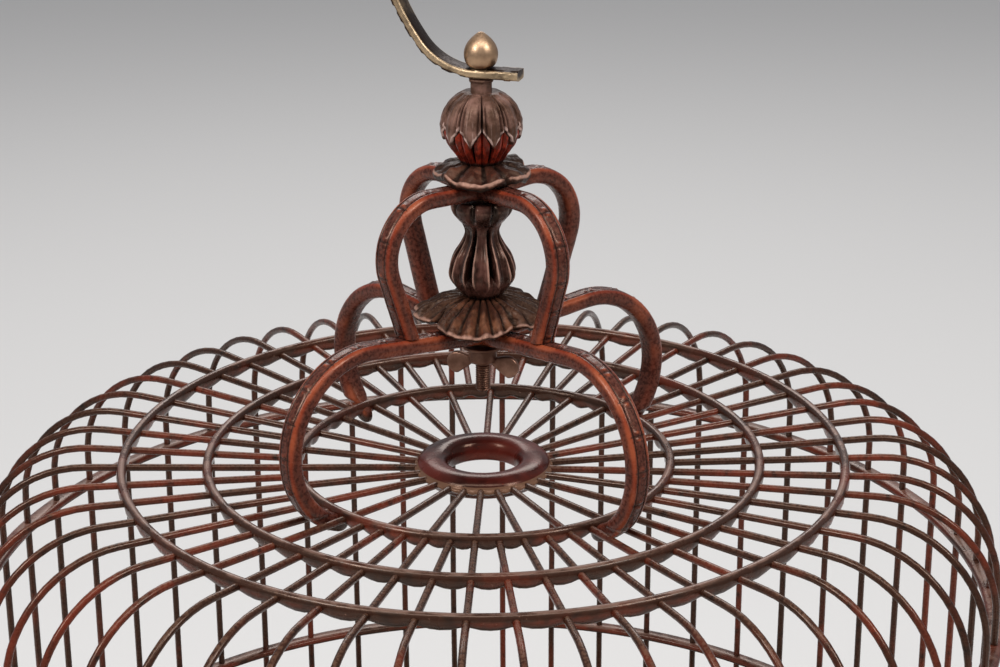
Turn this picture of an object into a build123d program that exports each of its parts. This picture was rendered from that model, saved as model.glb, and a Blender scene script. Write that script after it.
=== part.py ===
from build123d import *
from math import asin, atan2, cos, degrees, hypot, radians, sin, sqrt, tan
import os

# A round bamboo bird cage with a carved crown and a swivelling hook, in millimetres.
# It stands on z = 0, its axis is Z, and its door faces -Y.

# Bars: split bamboo shaved to six flats, driven through the hoops
bar_count = 52
bar_sides = 6
bar_radius = 1.3
bar_socket = 8.0
long_bar_end_depth = 3.4
front_azimuth = 270.0

# Body
wall_radius = 171.6
roof_height = 350.0
roof_slope = 2.3
shoulder_bend = 38.0
bend_steps = 6

# Roof hoops: strips on edge, with the bars passing through their mid-height
outer_hoop_radius = 120.0
middle_hoop_radius = 92.0
inner_hoop_radius = 62.4
roof_hoop_width = 3.4
roof_hoop_height = 5.2

# Wall hoops: strips lying flat, with the bars passing down through them
wall_hoop_width = 6.0
wall_hoop_height = 3.2
shoulder_hoop_drop = 49.0
upper_wall_hoop_drop = 153.0
lower_wall_hoop_drop = 211.0

# Hub ring: the turned ring that holds the long bars at the middle of the roof
hub_radius = 23.4
hub_hole_radius = 11.4
hub_height = 8.0
hub_sides = 26
hub_outer_shares = ((0.0, 0.86), (0.2, 1.0), (0.42, 0.98), (0.78, 0.93), (1.0, 0.78))
hub_hole_shares = ((0.0, 1.04), (0.5, 1.0), (1.0, 1.24))

# Base ring, feet and floor: the ring's wall stands to both sides of the bars' circle
foot_height = 20.0
foot_depth = 15.0
foot_toe_depth = 9.0
foot_width = 16.0
foot_inset = 3.0
foot_count = 4
base_height = 16.0
base_outward = 10.4
base_inward = 8.0
ledge_width = 6.0
ledge_height = 6.0
slat_count = 15
slat_margin = 23.6
slat_width = 7.0
slat_thickness = 3.0
slat_end_play = 1.0
bearer_offset = 70.0
bearer_width = 9.0
bearer_thickness = 4.0

# Perch: an eight-sided rod whose notched ends are pushed onto two opposite bars
perch_height = 124.0
perch_radius = 6.0
perch_sides = 8
perch_end_lap = 3.0

# Door: a curved panel of bars that lifts on two guide rods
door_gap_bars = 4
door_travel = 95.0
door_rail_depth = 5.2
door_rail_height = 5.0
door_lap = 5.0
guide_rod_radius = 1.7
guide_rod_socket = 9.0
guide_block_width = 8.0
guide_block_height = 7.0
guide_stand_off = 6.2

# Crown: two tiers of four carved arms, of which those at the back bow out less
arm_turn_shares = (0.1, 0.35, 0.61, 0.86)
arm_thickness = 5.8
arm_width = 7.6
arm_joint_rise = 0.7
claw_width = 3.8
claw_tip_inward = 3.0
claw_tip_drop = 6.2
lower_arm_joints = 13
lower_hub_height = 42.6
lower_bow_radius = 28.5
front_lower_bow_outward = 18.6
back_lower_bow_outward = 10.0
upper_arm_joints = 12
upper_hub_height = 92.4
upper_bow_top = 94.0
upper_bow_radius = 17.0
front_upper_bow_reach = 40.4
front_upper_foot_radius = 30.6
back_upper_bow_reach = 35.6
back_upper_foot_radius = 24.6

# Carved pieces threaded on the tie rod
carving_ribs = 8
leaf_points = 24
leaf_lobe_share = 0.1
leaf_pleat_share = 0.05
lower_leaf_radius = 19.5
lower_leaf_boss_radius = 5.0
lower_leaf_drop = 7.0
lower_leaf_top = 57.0
lower_leaf_shares = ((0.0, 0.98), (0.2, 1.0), (0.62, 0.66), (1.0, 0.36))
baluster_radius = 11.2
baluster_flute_share = 0.74
baluster_shares = ((0.0, 0.62), (0.22, 1.0), (0.42, 0.85), (0.64, 0.5), (0.85, 0.82), (1.0, 0.86))
upper_leaf_radius = 15.6
upper_leaf_boss_radius = 6.0
upper_leaf_drop = 3.2
upper_leaf_top = 102.0
upper_leaf_shares = ((0.0, 0.97), (0.3, 1.0), (0.7, 0.8), (1.0, 0.5))
bud_radius = 13.2
bud_top = 124.8
bud_flute_share = 0.84
bud_shares = ((0.0, 0.6), (0.2, 0.81), (0.5, 1.0), (0.82, 0.86), (1.0, 0.5))
neck_radius = 4.8
neck_sides = 8
neck_top = 129.3

# Tie rod and its fittings
rod_radius = 2.5
rod_clearance = 0.1
rod_tail_height = 23.0
rod_end_lap = 6.5
washer_radius = 7.0
washer_thickness = 1.0
wing_hub_radius = 5.0
wing_hub_height = 5.0
wing_reach = 12.0
wing_drop = 5.0
wing_thickness = 2.2
acorn_radius = 5.5
acorn_height = 11.2
acorn_sides = 14
acorn_shares = ((0.0, 0.72), (0.12, 0.9), (0.42, 1.0), (0.62, 0.88), (0.82, 0.57), (1.0, 0.1))

# Hook: a jointed brass strip that turns on the tie rod
hook_azimuth = 161.0
hook_width = 8.0
hook_thickness = 3.2
hook_joint_rise = 0.6
hook_joints = 20
hook_play = 0.2
hook_pad_radius = 6.6
hook_pad_sides = 12
hook_tail = 13.0
hook_straight = 2.0
hook_heel_radius = 22.0
hook_heel_turn = 54.0
hook_rise_radius = 75.0
hook_rise_turn = 26.0
hook_bow_turn = 190.0
hook_tip_radius = 14.0
hook_tip_turn = 70.0

# Fitting
seat_clearance = 0.15
running_clearance = 0.3
overrun = 20.0

# Places worked out from the sizes above
bar_pitch = 360.0 / bar_count
bend_centre_radius = wall_radius - shoulder_bend
bend_centre_height = roof_height - shoulder_bend
bend_start_radius = bend_centre_radius - shoulder_bend * sin(radians(roof_slope))
bend_start_height = bend_centre_height + shoulder_bend * cos(radians(roof_slope))
base_top = foot_height + base_height
base_outer_radius = wall_radius + base_outward
base_inner_radius = wall_radius - base_inward
slat_spacing = 2 * (base_inner_radius - slat_margin) / (slat_count - 1)
lower_wall_hoop_height = roof_height - lower_wall_hoop_drop
guide_radius = wall_radius + guide_stand_off
door_half_angle = (door_gap_bars + 1) * bar_pitch / 2
door_azimuth = front_azimuth + (door_gap_bars % 2) * bar_pitch / 2
arm_gaps = [round(share * bar_count) for share in arm_turn_shares]


def roof_at(radius):
    """Height of the bars' centre line on the roof, which dips towards the hub."""
    return bend_start_height - (bend_start_radius - radius) * tan(radians(roof_slope))


crown_base = roof_at(inner_hoop_radius) + roof_hoop_height / 2


# How a block lies against the point that it is placed by
STANDING = (Align.CENTER, Align.CENTER, Align.MIN)
HANGING = (Align.CENTER, Align.CENTER, Align.MAX)
OUTWARD = (Align.MIN, Align.CENTER, Align.CENTER)
BELOW = (Align.MIN, Align.CENTER, Align.MAX)


def polar(centre, radius, angle):
    """A point at a distance and an angle from a centre, in a plane's own two directions."""
    return (centre[0] + radius * cos(radians(angle)), centre[1] + radius * sin(radians(angle)))


def turned(azimuth, shape):
    """A shape modelled in the X-Z plane, turned to its azimuth about the axis."""
    return Rot(0, 0, azimuth) * shape


def save(name, *solids):
    """Write one node's solids to its own file."""
    export_step(Compound(children=list(solids)), f"parts/{name}.step")


def ring(radius, width, height, bottom):
    """A hoop about the axis, flat between one bar and the next."""
    outer = RegularPolygon(radius + width / 2, bar_count, major_radius=False)
    inner = RegularPolygon(radius - width / 2, bar_count, major_radius=False)
    return Pos(0, 0, bottom) * extrude(outer - inner, height)


def wedge(start_angle, end_angle, apex=0.0):
    """A tall wedge about the axis between two angles."""
    corners = [(apex, 0)]
    for angle in (start_angle, (start_angle + end_angle) / 2, end_angle):
        corners.append(polar((apex, 0), 2 * base_outer_radius, angle))
    return extrude(Polygon(*corners, align=None), 2 * roof_height)


def stacked(sections):
    """A solid with flat sides between outlines of like shape, each given with its height."""
    rings = [[Vector(x, y, height) for x, y in outline] for height, outline in sections]
    sides = [Face(Wire.make_polygon(rings[0])), Face(Wire.make_polygon(rings[-1]))]
    for low, high in zip(rings, rings[1:]):
        for index in range(len(low)):
            corners = (low[index - 1], low[index], high[index], high[index - 1])
            sides.append(Face(Wire.make_polygon(corners)))
    return Solid(Shell(sides))


def bored(solid):
    """A solid with the tie rod's hole along the axis."""
    return solid - Cylinder(rod_radius + rod_clearance, 4 * roof_height)


def even_outline(radius, count):
    """The corners of a regular polygon."""
    return [polar((0, 0), radius, index * 360.0 / count) for index in range(count)]


def ribbed_outline(radius, count, flute_share):
    """Corners of an outline whose ribs stand out from grooves."""
    points = []
    for index in range(2 * count):
        reach = radius * (flute_share if index % 2 else 1.0)
        points.append(polar((0, 0), reach, index * 180.0 / count))
    return points


def leaf_outline(radius):
    """Corners of a pleated leaf with four lobes, which lie between the arms."""
    points = []
    for index in range(leaf_points):
        angle = index * 360.0 / leaf_points
        lobe = leaf_lobe_share * cos(4 * radians(angle))
        pleat = -leaf_pleat_share if index % 2 else leaf_pleat_share
        points.append(polar((0, 0), radius * (1.0 + lobe + pleat), angle))
    return points


def bar(inner_end, foot):
    """One bar: out along the roof, over the shoulder in short even bends, and down to its foot."""
    corners = [(inner_end, roof_at(inner_end))]
    for step in range(bend_steps + 1):
        angle = (90.0 + roof_slope) * (1 - step / bend_steps)
        corners.append(polar((bend_centre_radius, bend_centre_height), shoulder_bend, angle))
    corners.append((wall_radius, foot))
    path = Plane.XZ * Polyline(*corners)
    section = Plane(path @ 0, z_dir=path % 0) * RegularPolygon(bar_radius, bar_sides)
    return sweep(section, path, transition=Transition.RIGHT)


def bars(inner_end, first):
    """Every second bar of the cage; those over the door stop in the lower wall hoop."""
    whole = bar(inner_end, base_top - bar_socket)
    cut_short = bar(inner_end, lower_wall_hoop_height - wall_hoop_height / 2)
    result = []
    for index in range(first, bar_count, 2):
        azimuth = front_azimuth + (index - 0.5) * bar_pitch
        from_door = abs((azimuth - door_azimuth + 180.0) % 360.0 - 180.0)
        chosen = cut_short if from_door < door_half_angle - bar_pitch / 2 else whole
        result.append(turned(azimuth, chosen))
    return result


def long_bars():
    return bars(hub_radius - long_bar_end_depth, 0)


def short_bars():
    return bars(inner_hoop_radius - roof_hoop_width / 4, 1)


def roof_hoop(radius):
    bottom = roof_at(radius) - roof_hoop_height / 2
    return ring(radius, roof_hoop_width, roof_hoop_height, bottom)


def wall_hoop(drop):
    bottom = roof_height - drop - wall_hoop_height / 2
    return ring(wall_radius, wall_hoop_width, wall_hoop_height, bottom)


def hub_ring():
    """A fat ring with a flared foot and a rounded top, pierced by a flared hole."""
    bottom = roof_at(hub_radius) - hub_height / 2
    outer = [
        (bottom + rise * hub_height, even_outline(share * hub_radius, hub_sides))
        for rise, share in hub_outer_shares
    ]
    hole = [
        (bottom + rise * hub_height, even_outline(share * hub_hole_radius, hub_sides))
        for rise, share in hub_hole_shares
    ]
    return stacked(outer) - stacked(hole)


def base_ring():
    """The heavy bottom ring, with a ledge inside for the floor and holes for the guide rods."""
    wall_width = base_outer_radius - base_inner_radius
    wall_middle = base_inner_radius + wall_width / 2
    ledge_middle = base_inner_radius - ledge_width / 2
    body = ring(wall_middle, wall_width, base_height, foot_height)
    body += ring(ledge_middle, ledge_width + seat_clearance, ledge_height, foot_height)
    for azimuth in guide_azimuths():
        hole = guide_hexagon(seat_clearance / 2, guide_rod_socket + overrun, base_top - guide_rod_socket)
        body -= turned(azimuth, hole)
    return body


def foot():
    """A bracket foot: wide under the ring, waisted, and turned out at the toe."""
    outside = base_outer_radius - foot_inset
    inside = outside - foot_depth
    toe_inside = outside - foot_toe_depth
    waist = (outside + toe_inside) / 2 + foot_inset
    outline = Line((inside, foot_height), (outside, foot_height))
    outline += ThreePointArc(
        (outside, foot_height), (outside - foot_inset, foot_height / 2), (outside, 0)
    )
    outline += Line((outside, 0), (toe_inside, 0))
    outline += ThreePointArc(
        (toe_inside, 0), (waist - foot_toe_depth, foot_height / 2), (inside, foot_height)
    )
    return extrude(Plane.XZ * make_face(outline), foot_width / 2, both=True)


def feet():
    first = front_azimuth + 180.0 / foot_count
    return [turned(first + index * 360.0 / foot_count, foot()) for index in range(foot_count)]


def floor_slats():
    """Parallel slats whose ends lie on the base ring's ledge."""
    bottom = foot_height + ledge_height
    reach = base_inner_radius - slat_end_play
    result = []
    for index in range(slat_count):
        side = (index - (slat_count - 1) / 2) * slat_spacing
        half_length = sqrt(reach**2 - (abs(side) + slat_width / 2) ** 2)
        slat = Box(2 * half_length, slat_width, slat_thickness, align=STANDING)
        result.append(Pos(0, side, bottom) * slat)
    return result


def floor_bearers():
    """Two bearers under the slats, between the ledge's inner sides."""
    top = foot_height + ledge_height
    reach = base_inner_radius - ledge_width - 2 * seat_clearance
    half_length = sqrt(reach**2 - (bearer_offset + bearer_width / 2) ** 2)
    bearer = Box(bearer_width, 2 * half_length, bearer_thickness, align=HANGING)
    return [Pos(side * bearer_offset, 0, top) * bearer for side in (-1, 1)]


def perch():
    """A rod across the cage; a notch in each end straddles one wall bar."""
    half_length = wall_radius + bar_radius + perch_end_lap
    rod = extrude(Plane.YZ * RegularPolygon(perch_radius, perch_sides), half_length, both=True)
    notch_width = 2 * (bar_radius + seat_clearance)
    notch = Box(overrun, notch_width, 4 * perch_radius, align=OUTWARD)
    for side in (0.0, 180.0):
        rod -= turned(side, Pos(wall_radius - bar_radius - seat_clearance, 0, 0) * notch)
    return turned(bar_pitch / 2, Pos(0, 0, perch_height) * rod)


def guide_azimuths():
    return (door_azimuth - door_half_angle, door_azimuth + door_half_angle)


def guide_hexagon(clearance, height, bottom):
    """The guide rod's section, or the hole for it, raised from a height."""
    section = RegularPolygon(guide_rod_radius + clearance, bar_sides)
    return Pos(guide_radius, 0, bottom) * extrude(section, height)


door_bottom = base_top + running_clearance
door_top = lower_wall_hoop_height + wall_hoop_height / 2 + door_lap
guide_block_bottom = door_top + door_travel + running_clearance


def door_rail(bottom):
    """A curved strip outside the wall bars, with a hole for a guide rod near each end."""
    end_angle = degrees(door_lap / guide_radius)
    rail = ring(guide_radius, door_rail_depth, door_rail_height, bottom)
    rail &= turned(door_azimuth, wedge(-door_half_angle - end_angle, door_half_angle + end_angle))
    for azimuth in guide_azimuths():
        rail -= turned(azimuth, guide_hexagon(running_clearance, 2 * overrun, bottom - overrun))
    return rail


def door_bars():
    """The door's own bars, at the places of the wall bars that they stand in for."""
    foot_in_rail = door_bottom + door_rail_height / 3
    head_in_rail = door_top - door_rail_height / 3
    stick = extrude(RegularPolygon(bar_radius, bar_sides), head_in_rail - foot_in_rail)
    result = []
    for index in range(door_gap_bars):
        azimuth = door_azimuth + (index - (door_gap_bars - 1) / 2) * bar_pitch
        result.append(turned(azimuth, Pos(guide_radius, 0, foot_in_rail) * stick))
    return result


def guide_rods():
    bottom = base_top - guide_rod_socket
    height = guide_block_bottom + guide_block_height - bottom
    return [turned(azimuth, guide_hexagon(0.0, height, bottom)) for azimuth in guide_azimuths()]


def guide_blocks():
    """A block on the wall bar at each side of the door, which holds the top of a guide rod."""
    inside = wall_radius - 2 * bar_radius
    outside = guide_radius + 2 * guide_rod_radius
    block = Box(outside - inside, guide_block_width, guide_block_height, align=STANDING)
    block = Pos((inside + outside) / 2, 0, guide_block_bottom) * block
    block -= guide_hexagon(seat_clearance / 2, 2 * overrun, guide_block_bottom - overrun)
    return [turned(azimuth, block) for azimuth in guide_azimuths()]


def touching(point, centre, radius):
    """Heading of the line from a point that passes over a circle and touches it."""
    across = centre[0] - point[0]
    up = centre[1] - point[1]
    return degrees(atan2(up, across) + asin(radius / hypot(across, up)))


def jointed(path, thickness, joint_rise, joints):
    """A strip's outline in the X-Z plane: joints stand proud on the outside, the inside is smooth."""
    outside = []
    inside = []
    for step in range(2 * joints + 1):
        place = path @ (step / (2 * joints))
        heading = path % (step / (2 * joints))
        normal = (-heading.Y, heading.X)
        rise = 0.0 if step % 2 else joint_rise
        reach = thickness / 2 + rise
        outside.append((place.X + normal[0] * reach, place.Y + normal[1] * reach))
        if step % 2 == 0:
            inside.append((place.X - normal[0] * thickness / 2, place.Y - normal[1] * thickness / 2))
    return Plane.XZ * Polygon(*outside, *reversed(inside), align=None)


lower_hub = (0, crown_base + lower_hub_height)
upper_hub = (0, crown_base + upper_hub_height)
claw_tip = (inner_hoop_radius - claw_tip_inward, crown_base - claw_tip_drop)


def lower_bow_centre(outward):
    """Centre of a lower bow, which comes round to the claw's tip under the inner hoop."""
    across = inner_hoop_radius + outward - lower_bow_radius
    return (across, claw_tip[1] + sqrt(lower_bow_radius**2 - (claw_tip[0] - across) ** 2))


def upper_bow_centre(reach):
    return (reach - upper_bow_radius, crown_base + upper_bow_top - upper_bow_radius)


def upper_side(hub, heading, radius):
    """Height of the joints on an arm's straight run at a distance from the axis."""
    middle = hub[1] + radius * tan(radians(heading))
    return middle + (arm_thickness / 2 + arm_joint_rise) / cos(radians(heading))


def set_in_gap(place, arm):
    """An arm mitred against its neighbours, bored for the rod and turned to its gap."""
    before = (arm_gaps[place] - arm_gaps[place - 1]) % bar_count * bar_pitch
    after = (arm_gaps[(place + 1) % len(arm_gaps)] - arm_gaps[place]) % bar_count * bar_pitch
    arm = bored(arm & wedge(-before / 2, after / 2, seat_clearance))
    return turned(front_azimuth + arm_gaps[place] * bar_pitch, arm)


def lower_arm(place, outward):
    """A lower arm: out from the hub, round the bow, and hooked under the inner hoop as a claw."""
    centre = lower_bow_centre(outward)
    start = touching(lower_hub, centre, lower_bow_radius) + 90.0
    end = degrees(atan2(claw_tip[1] - centre[1], claw_tip[0] - centre[0]))
    path = Line(lower_hub, polar(centre, lower_bow_radius, start))
    path += CenterArc(centre, lower_bow_radius, start, end - start)
    outline = jointed(path, arm_thickness, arm_joint_rise, lower_arm_joints)
    arm = extrude(outline, arm_width / 2, both=True)
    shoulder = roof_at(centre[0] + lower_bow_radius) + bar_radius + seat_clearance
    cheek = Box(2 * lower_bow_radius, arm_width, 2 * lower_bow_radius, align=BELOW)
    for side in (-1, 1):
        middle = side * (claw_width + arm_width) / 2
        arm -= Pos(centre[0] - arm_width, middle, shoulder) * cheek
    bite_width = roof_hoop_width + 2 * seat_clearance
    bite = Box(bite_width, 2 * arm_width, roof_hoop_height + seat_clearance, align=HANGING)
    arm -= Pos(inner_hoop_radius, 0, crown_base) * bite
    return set_in_gap(place, arm)


def space_under_upper_arms(heading, foot_radius):
    """What lies below the line of joints on which the upper arms stand."""
    corners = [(0, crown_base), (2 * foot_radius, crown_base)]
    for radius in (2 * foot_radius, 0):
        corners.append((radius, upper_side(lower_hub, heading, radius)))
    return extrude(Plane.XZ * Polygon(*corners, align=None), arm_width, both=True)


def upper_arm(place, outward, reach, foot_radius):
    """An upper arm: out from the hub, over the bow, and down onto the lower arm's back."""
    lower_heading = touching(lower_hub, lower_bow_centre(outward), lower_bow_radius)
    centre = upper_bow_centre(reach)
    start = touching(upper_hub, centre, upper_bow_radius) + 90.0
    foot = (foot_radius, upper_side(lower_hub, lower_heading, foot_radius) - arm_thickness)
    leave = 90.0 - touching((-foot[0], foot[1]), (-centre[0], centre[1]), upper_bow_radius)
    path = Line(upper_hub, polar(centre, upper_bow_radius, start))
    path += CenterArc(centre, upper_bow_radius, start, leave - start)
    path += Line(polar(centre, upper_bow_radius, leave), foot)
    outline = jointed(path, arm_thickness, arm_joint_rise, upper_arm_joints)
    arm = extrude(outline, arm_width / 2, both=True)
    return set_in_gap(place, arm - space_under_upper_arms(lower_heading, foot_radius))


def leaf(top, drop, shares, radius, boss_radius, seat):
    """A drooping leaf whose boss stands on the arms' backs and is bored for the rod."""
    rim = top - drop
    blade = stacked([(rim + rise * drop, leaf_outline(share * radius)) for rise, share in shares])
    boss = extrude(RegularPolygon(boss_radius, neck_sides), rim - seat + drop / 2)
    return bored(blade + Pos(0, 0, seat) * boss)


def lower_leaf():
    """The lotus leaf under the baluster."""
    heading = touching(lower_hub, lower_bow_centre(front_lower_bow_outward), lower_bow_radius)
    seat = upper_side(lower_hub, heading, lower_leaf_boss_radius)
    top = crown_base + lower_leaf_top
    return leaf(top, lower_leaf_drop, lower_leaf_shares, lower_leaf_radius, lower_leaf_boss_radius, seat)


def upper_leaf():
    """A smaller, flatter leaf that caps the upper arms."""
    heading = touching(upper_hub, upper_bow_centre(back_upper_bow_reach), upper_bow_radius)
    seat = upper_side(upper_hub, heading, upper_leaf_boss_radius)
    top = crown_base + upper_leaf_top
    return leaf(top, upper_leaf_drop, upper_leaf_shares, upper_leaf_radius, upper_leaf_boss_radius, seat)


def baluster():
    """A vase-shaped spindle carved into upright ribs."""
    bottom = crown_base + lower_leaf_top
    height = upper_hub_height - arm_thickness / 2 - lower_leaf_top - seat_clearance
    sections = []
    for rise, share in baluster_shares:
        outline = ribbed_outline(share * baluster_radius, carving_ribs, baluster_flute_share)
        sections.append((bottom + rise * height, outline))
    return bored(stacked(sections))


def bud():
    """A closed lotus bud with ribbed petals and an eight-sided neck."""
    bottom = crown_base + upper_leaf_top
    height = bud_top - upper_leaf_top
    sections = []
    for rise, share in bud_shares:
        outline = ribbed_outline(share * bud_radius, carving_ribs, bud_flute_share)
        sections.append((bottom + rise * height, outline))
    neck_bottom = bud_top - neck_radius / 2
    neck = extrude(RegularPolygon(neck_radius, neck_sides), neck_top - neck_bottom)
    return bored(stacked(sections) + Pos(0, 0, crown_base + neck_bottom) * neck)


hook_bottom = crown_base + neck_top + hook_play
hook_middle = hook_bottom + hook_thickness / 2
acorn_bottom = hook_bottom + hook_thickness + hook_play


def tie_rod():
    bottom = crown_base + rod_tail_height
    return Pos(0, 0, bottom) * extrude(Circle(rod_radius), acorn_bottom + rod_end_lap - bottom)


lower_arm_underside = lower_hub[1] - arm_thickness / 2


def washer():
    disc = extrude(RegularPolygon(washer_radius, acorn_sides), washer_thickness)
    return bored(Pos(0, 0, lower_arm_underside - washer_thickness - seat_clearance) * disc)


def wing_nut():
    """A hub with two wings that slope down and out."""
    top = lower_arm_underside - washer_thickness - 2 * seat_clearance
    nut = extrude(RegularPolygon(wing_hub_radius, neck_sides), wing_hub_height)
    nut = Pos(0, 0, top - wing_hub_height) * nut
    wing = Plane.XZ * Polygon(
        (0, top - wing_hub_height / 4),
        (wing_reach, top - wing_hub_height),
        (wing_reach, top - wing_hub_height - wing_drop),
        (wing_reach - wing_hub_radius, top - wing_hub_height - wing_drop),
        (0, top - wing_hub_height),
        align=None,
    )
    for side in (0.0, 180.0):
        nut += turned(side, extrude(wing, wing_thickness / 2, both=True))
    return turned(hook_azimuth, bored(nut))


def acorn_nut():
    """A domed nut with a blind hole for the rod's end."""
    sections = []
    for rise, share in acorn_shares:
        outline = even_outline(share * acorn_radius, acorn_sides)
        sections.append((acorn_bottom + rise * acorn_height, outline))
    hole = Cylinder(rod_radius + rod_clearance, 2 * (rod_end_lap + seat_clearance))
    return stacked(sections) - Pos(0, 0, acorn_bottom) * hole


def hook():
    """A flat pad on the rod, a heel that turns up, a long rise, and the bow with its curled tip."""
    heel_start = (hook_straight, hook_middle)
    heel_centre = (hook_straight, hook_middle + hook_heel_radius)
    heel_end = polar(heel_centre, hook_heel_radius, hook_heel_turn - 90.0)
    rise_centre = polar(heel_end, hook_rise_radius, hook_heel_turn + 90.0)
    bow_heading = hook_heel_turn + hook_rise_turn
    rise_end = polar(rise_centre, hook_rise_radius, bow_heading - 90.0)
    bow_radius = rise_end[0] / sin(radians(bow_heading))
    bow_centre = polar(rise_end, bow_radius, bow_heading + 90.0)
    tip_heading = bow_heading + hook_bow_turn
    bow_end = polar(bow_centre, bow_radius, tip_heading - 90.0)
    tip_centre = polar(bow_end, hook_tip_radius, tip_heading - 90.0)
    path = Line((-hook_tail, hook_middle), heel_start)
    path += CenterArc(heel_centre, hook_heel_radius, -90.0, hook_heel_turn)
    path += CenterArc(rise_centre, hook_rise_radius, hook_heel_turn - 90.0, hook_rise_turn)
    path += CenterArc(bow_centre, bow_radius, bow_heading - 90.0, hook_bow_turn)
    path += CenterArc(tip_centre, hook_tip_radius, tip_heading + 90.0, -hook_tip_turn)
    outline = jointed(path, -hook_thickness, -hook_joint_rise, hook_joints)
    strip = extrude(outline, hook_width / 2, both=True)
    strip -= Pos(0, 0, hook_bottom) * Box(4 * hook_tail, 2 * hook_width, overrun, align=HANGING)
    nut_seat = extrude(RegularPolygon(acorn_radius + running_clearance, acorn_sides), hook_thickness)
    strip -= Pos(0, 0, hook_bottom + hook_thickness) * nut_seat
    pad = Pos(0, 0, hook_bottom) * extrude(RegularPolygon(hook_pad_radius, hook_pad_sides), hook_thickness)
    return turned(hook_azimuth, bored(strip + pad))


os.makedirs("parts", exist_ok=True)

save("long_bars", *long_bars())
save("short_bars", *short_bars())
save("outer_roof_hoop", roof_hoop(outer_hoop_radius))
save("middle_roof_hoop", roof_hoop(middle_hoop_radius))
save("inner_roof_hoop", roof_hoop(inner_hoop_radius))
save("shoulder_hoop", wall_hoop(shoulder_hoop_drop))
save("upper_wall_hoop", wall_hoop(upper_wall_hoop_drop))
save("lower_wall_hoop", wall_hoop(lower_wall_hoop_drop))
save("hub_ring", hub_ring())
save("base_ring", base_ring())
save("feet", *feet())
save("floor_slats", *floor_slats())
save("floor_bearers", *floor_bearers())
save("perch", perch())
save("door_top_rail", door_rail(door_top - door_rail_height))
save("door_bottom_rail", door_rail(door_bottom))
save("door_bars", *door_bars())
save("guide_rods", *guide_rods())
save("guide_blocks", *guide_blocks())
front_bows = (front_lower_bow_outward, front_upper_bow_reach, front_upper_foot_radius)
back_bows = (back_lower_bow_outward, back_upper_bow_reach, back_upper_foot_radius)
arms = (
    ("front_right", front_bows),
    ("back_right", back_bows),
    ("back_left", back_bows),
    ("front_left", front_bows),
)
for place, (side, (outward, reach, foot_radius)) in enumerate(arms):
    save(f"lower_arm_{side}", lower_arm(place, outward))
    save(f"upper_arm_{side}", upper_arm(place, outward, reach, foot_radius))
save("lower_leaf", lower_leaf())
save("baluster", baluster())
save("upper_leaf", upper_leaf())
save("bud", bud())
save("tie_rod", tie_rod())
save("washer", washer())
save("wing_nut", wing_nut())
save("acorn_nut", acorn_nut())
save("hook", hook())
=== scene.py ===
import math
import random

import bmesh
import bpy
from mathutils import Matrix, Vector, noise


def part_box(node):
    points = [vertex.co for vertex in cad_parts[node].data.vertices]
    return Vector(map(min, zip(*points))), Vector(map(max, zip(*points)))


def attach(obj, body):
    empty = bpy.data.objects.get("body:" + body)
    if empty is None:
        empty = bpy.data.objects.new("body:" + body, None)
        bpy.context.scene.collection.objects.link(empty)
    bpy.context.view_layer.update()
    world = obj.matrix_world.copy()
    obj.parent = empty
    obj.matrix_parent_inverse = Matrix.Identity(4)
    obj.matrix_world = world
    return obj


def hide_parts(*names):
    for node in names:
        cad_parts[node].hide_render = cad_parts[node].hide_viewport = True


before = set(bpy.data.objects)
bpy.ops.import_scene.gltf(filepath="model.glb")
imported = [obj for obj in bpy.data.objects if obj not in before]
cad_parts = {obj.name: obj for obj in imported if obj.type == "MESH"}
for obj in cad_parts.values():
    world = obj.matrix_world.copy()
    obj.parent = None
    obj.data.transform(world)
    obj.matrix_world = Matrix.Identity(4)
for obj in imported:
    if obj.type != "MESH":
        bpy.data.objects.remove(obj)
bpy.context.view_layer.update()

# Sizes are in metres and angles in degrees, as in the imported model.

# Bars
bar_count = 52
bar_pitch = 360.0 / bar_count
front_azimuth = 270.0
bar_radius = 0.0012
bar_sides = 12
bar_sway = 0.0003
door_gap_bars = 4
wall_cuts = 14
bend_cuts = 14
roof_cuts = 8
wall_radius = 0.1716
roof_slope = 2.3
shoulder_bend = 0.038
bar_socket = 0.008

# Hoops
outer_hoop_radius = 0.12
middle_hoop_radius = 0.092
inner_hoop_radius = 0.0624
roof_hoop_width = 0.0034
roof_hoop_height = 0.0054
roof_hoop_cuts = 8
roof_hoop_sides = 16
wall_hoop_width = 0.006
wall_hoop_height = 0.0032
wall_hoop_cuts = 6
wall_hoop_sides = 14

# Hub ring
hub_radius = 0.0234
hub_hole_radius = 0.0114
hub_height = 0.008
long_bar_end_depth = 0.0034

# Base, floor and perch
base_outer_radius = 0.182
base_inner_radius = 0.1636
ledge_width = 0.006
base_rubbed_depth = 0.001
slat_count = 15
slat_margin = 0.0236
slat_width = 0.007
slat_end_gap = 0.001
slat_bevel = 0.0006
bearer_width = 0.009
perch_end_lap = 0.003
perch_sides = 24
perch_cut = 0.004
perch_notch_gap = 0.00015
perch_unevenness = 0.0003
perch_knot_spacing = 0.03
edge_bevel = 0.0005

# Door
guide_radius = 0.1778
guide_rod_radius = 0.0017
door_rod_sides = 16

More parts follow.
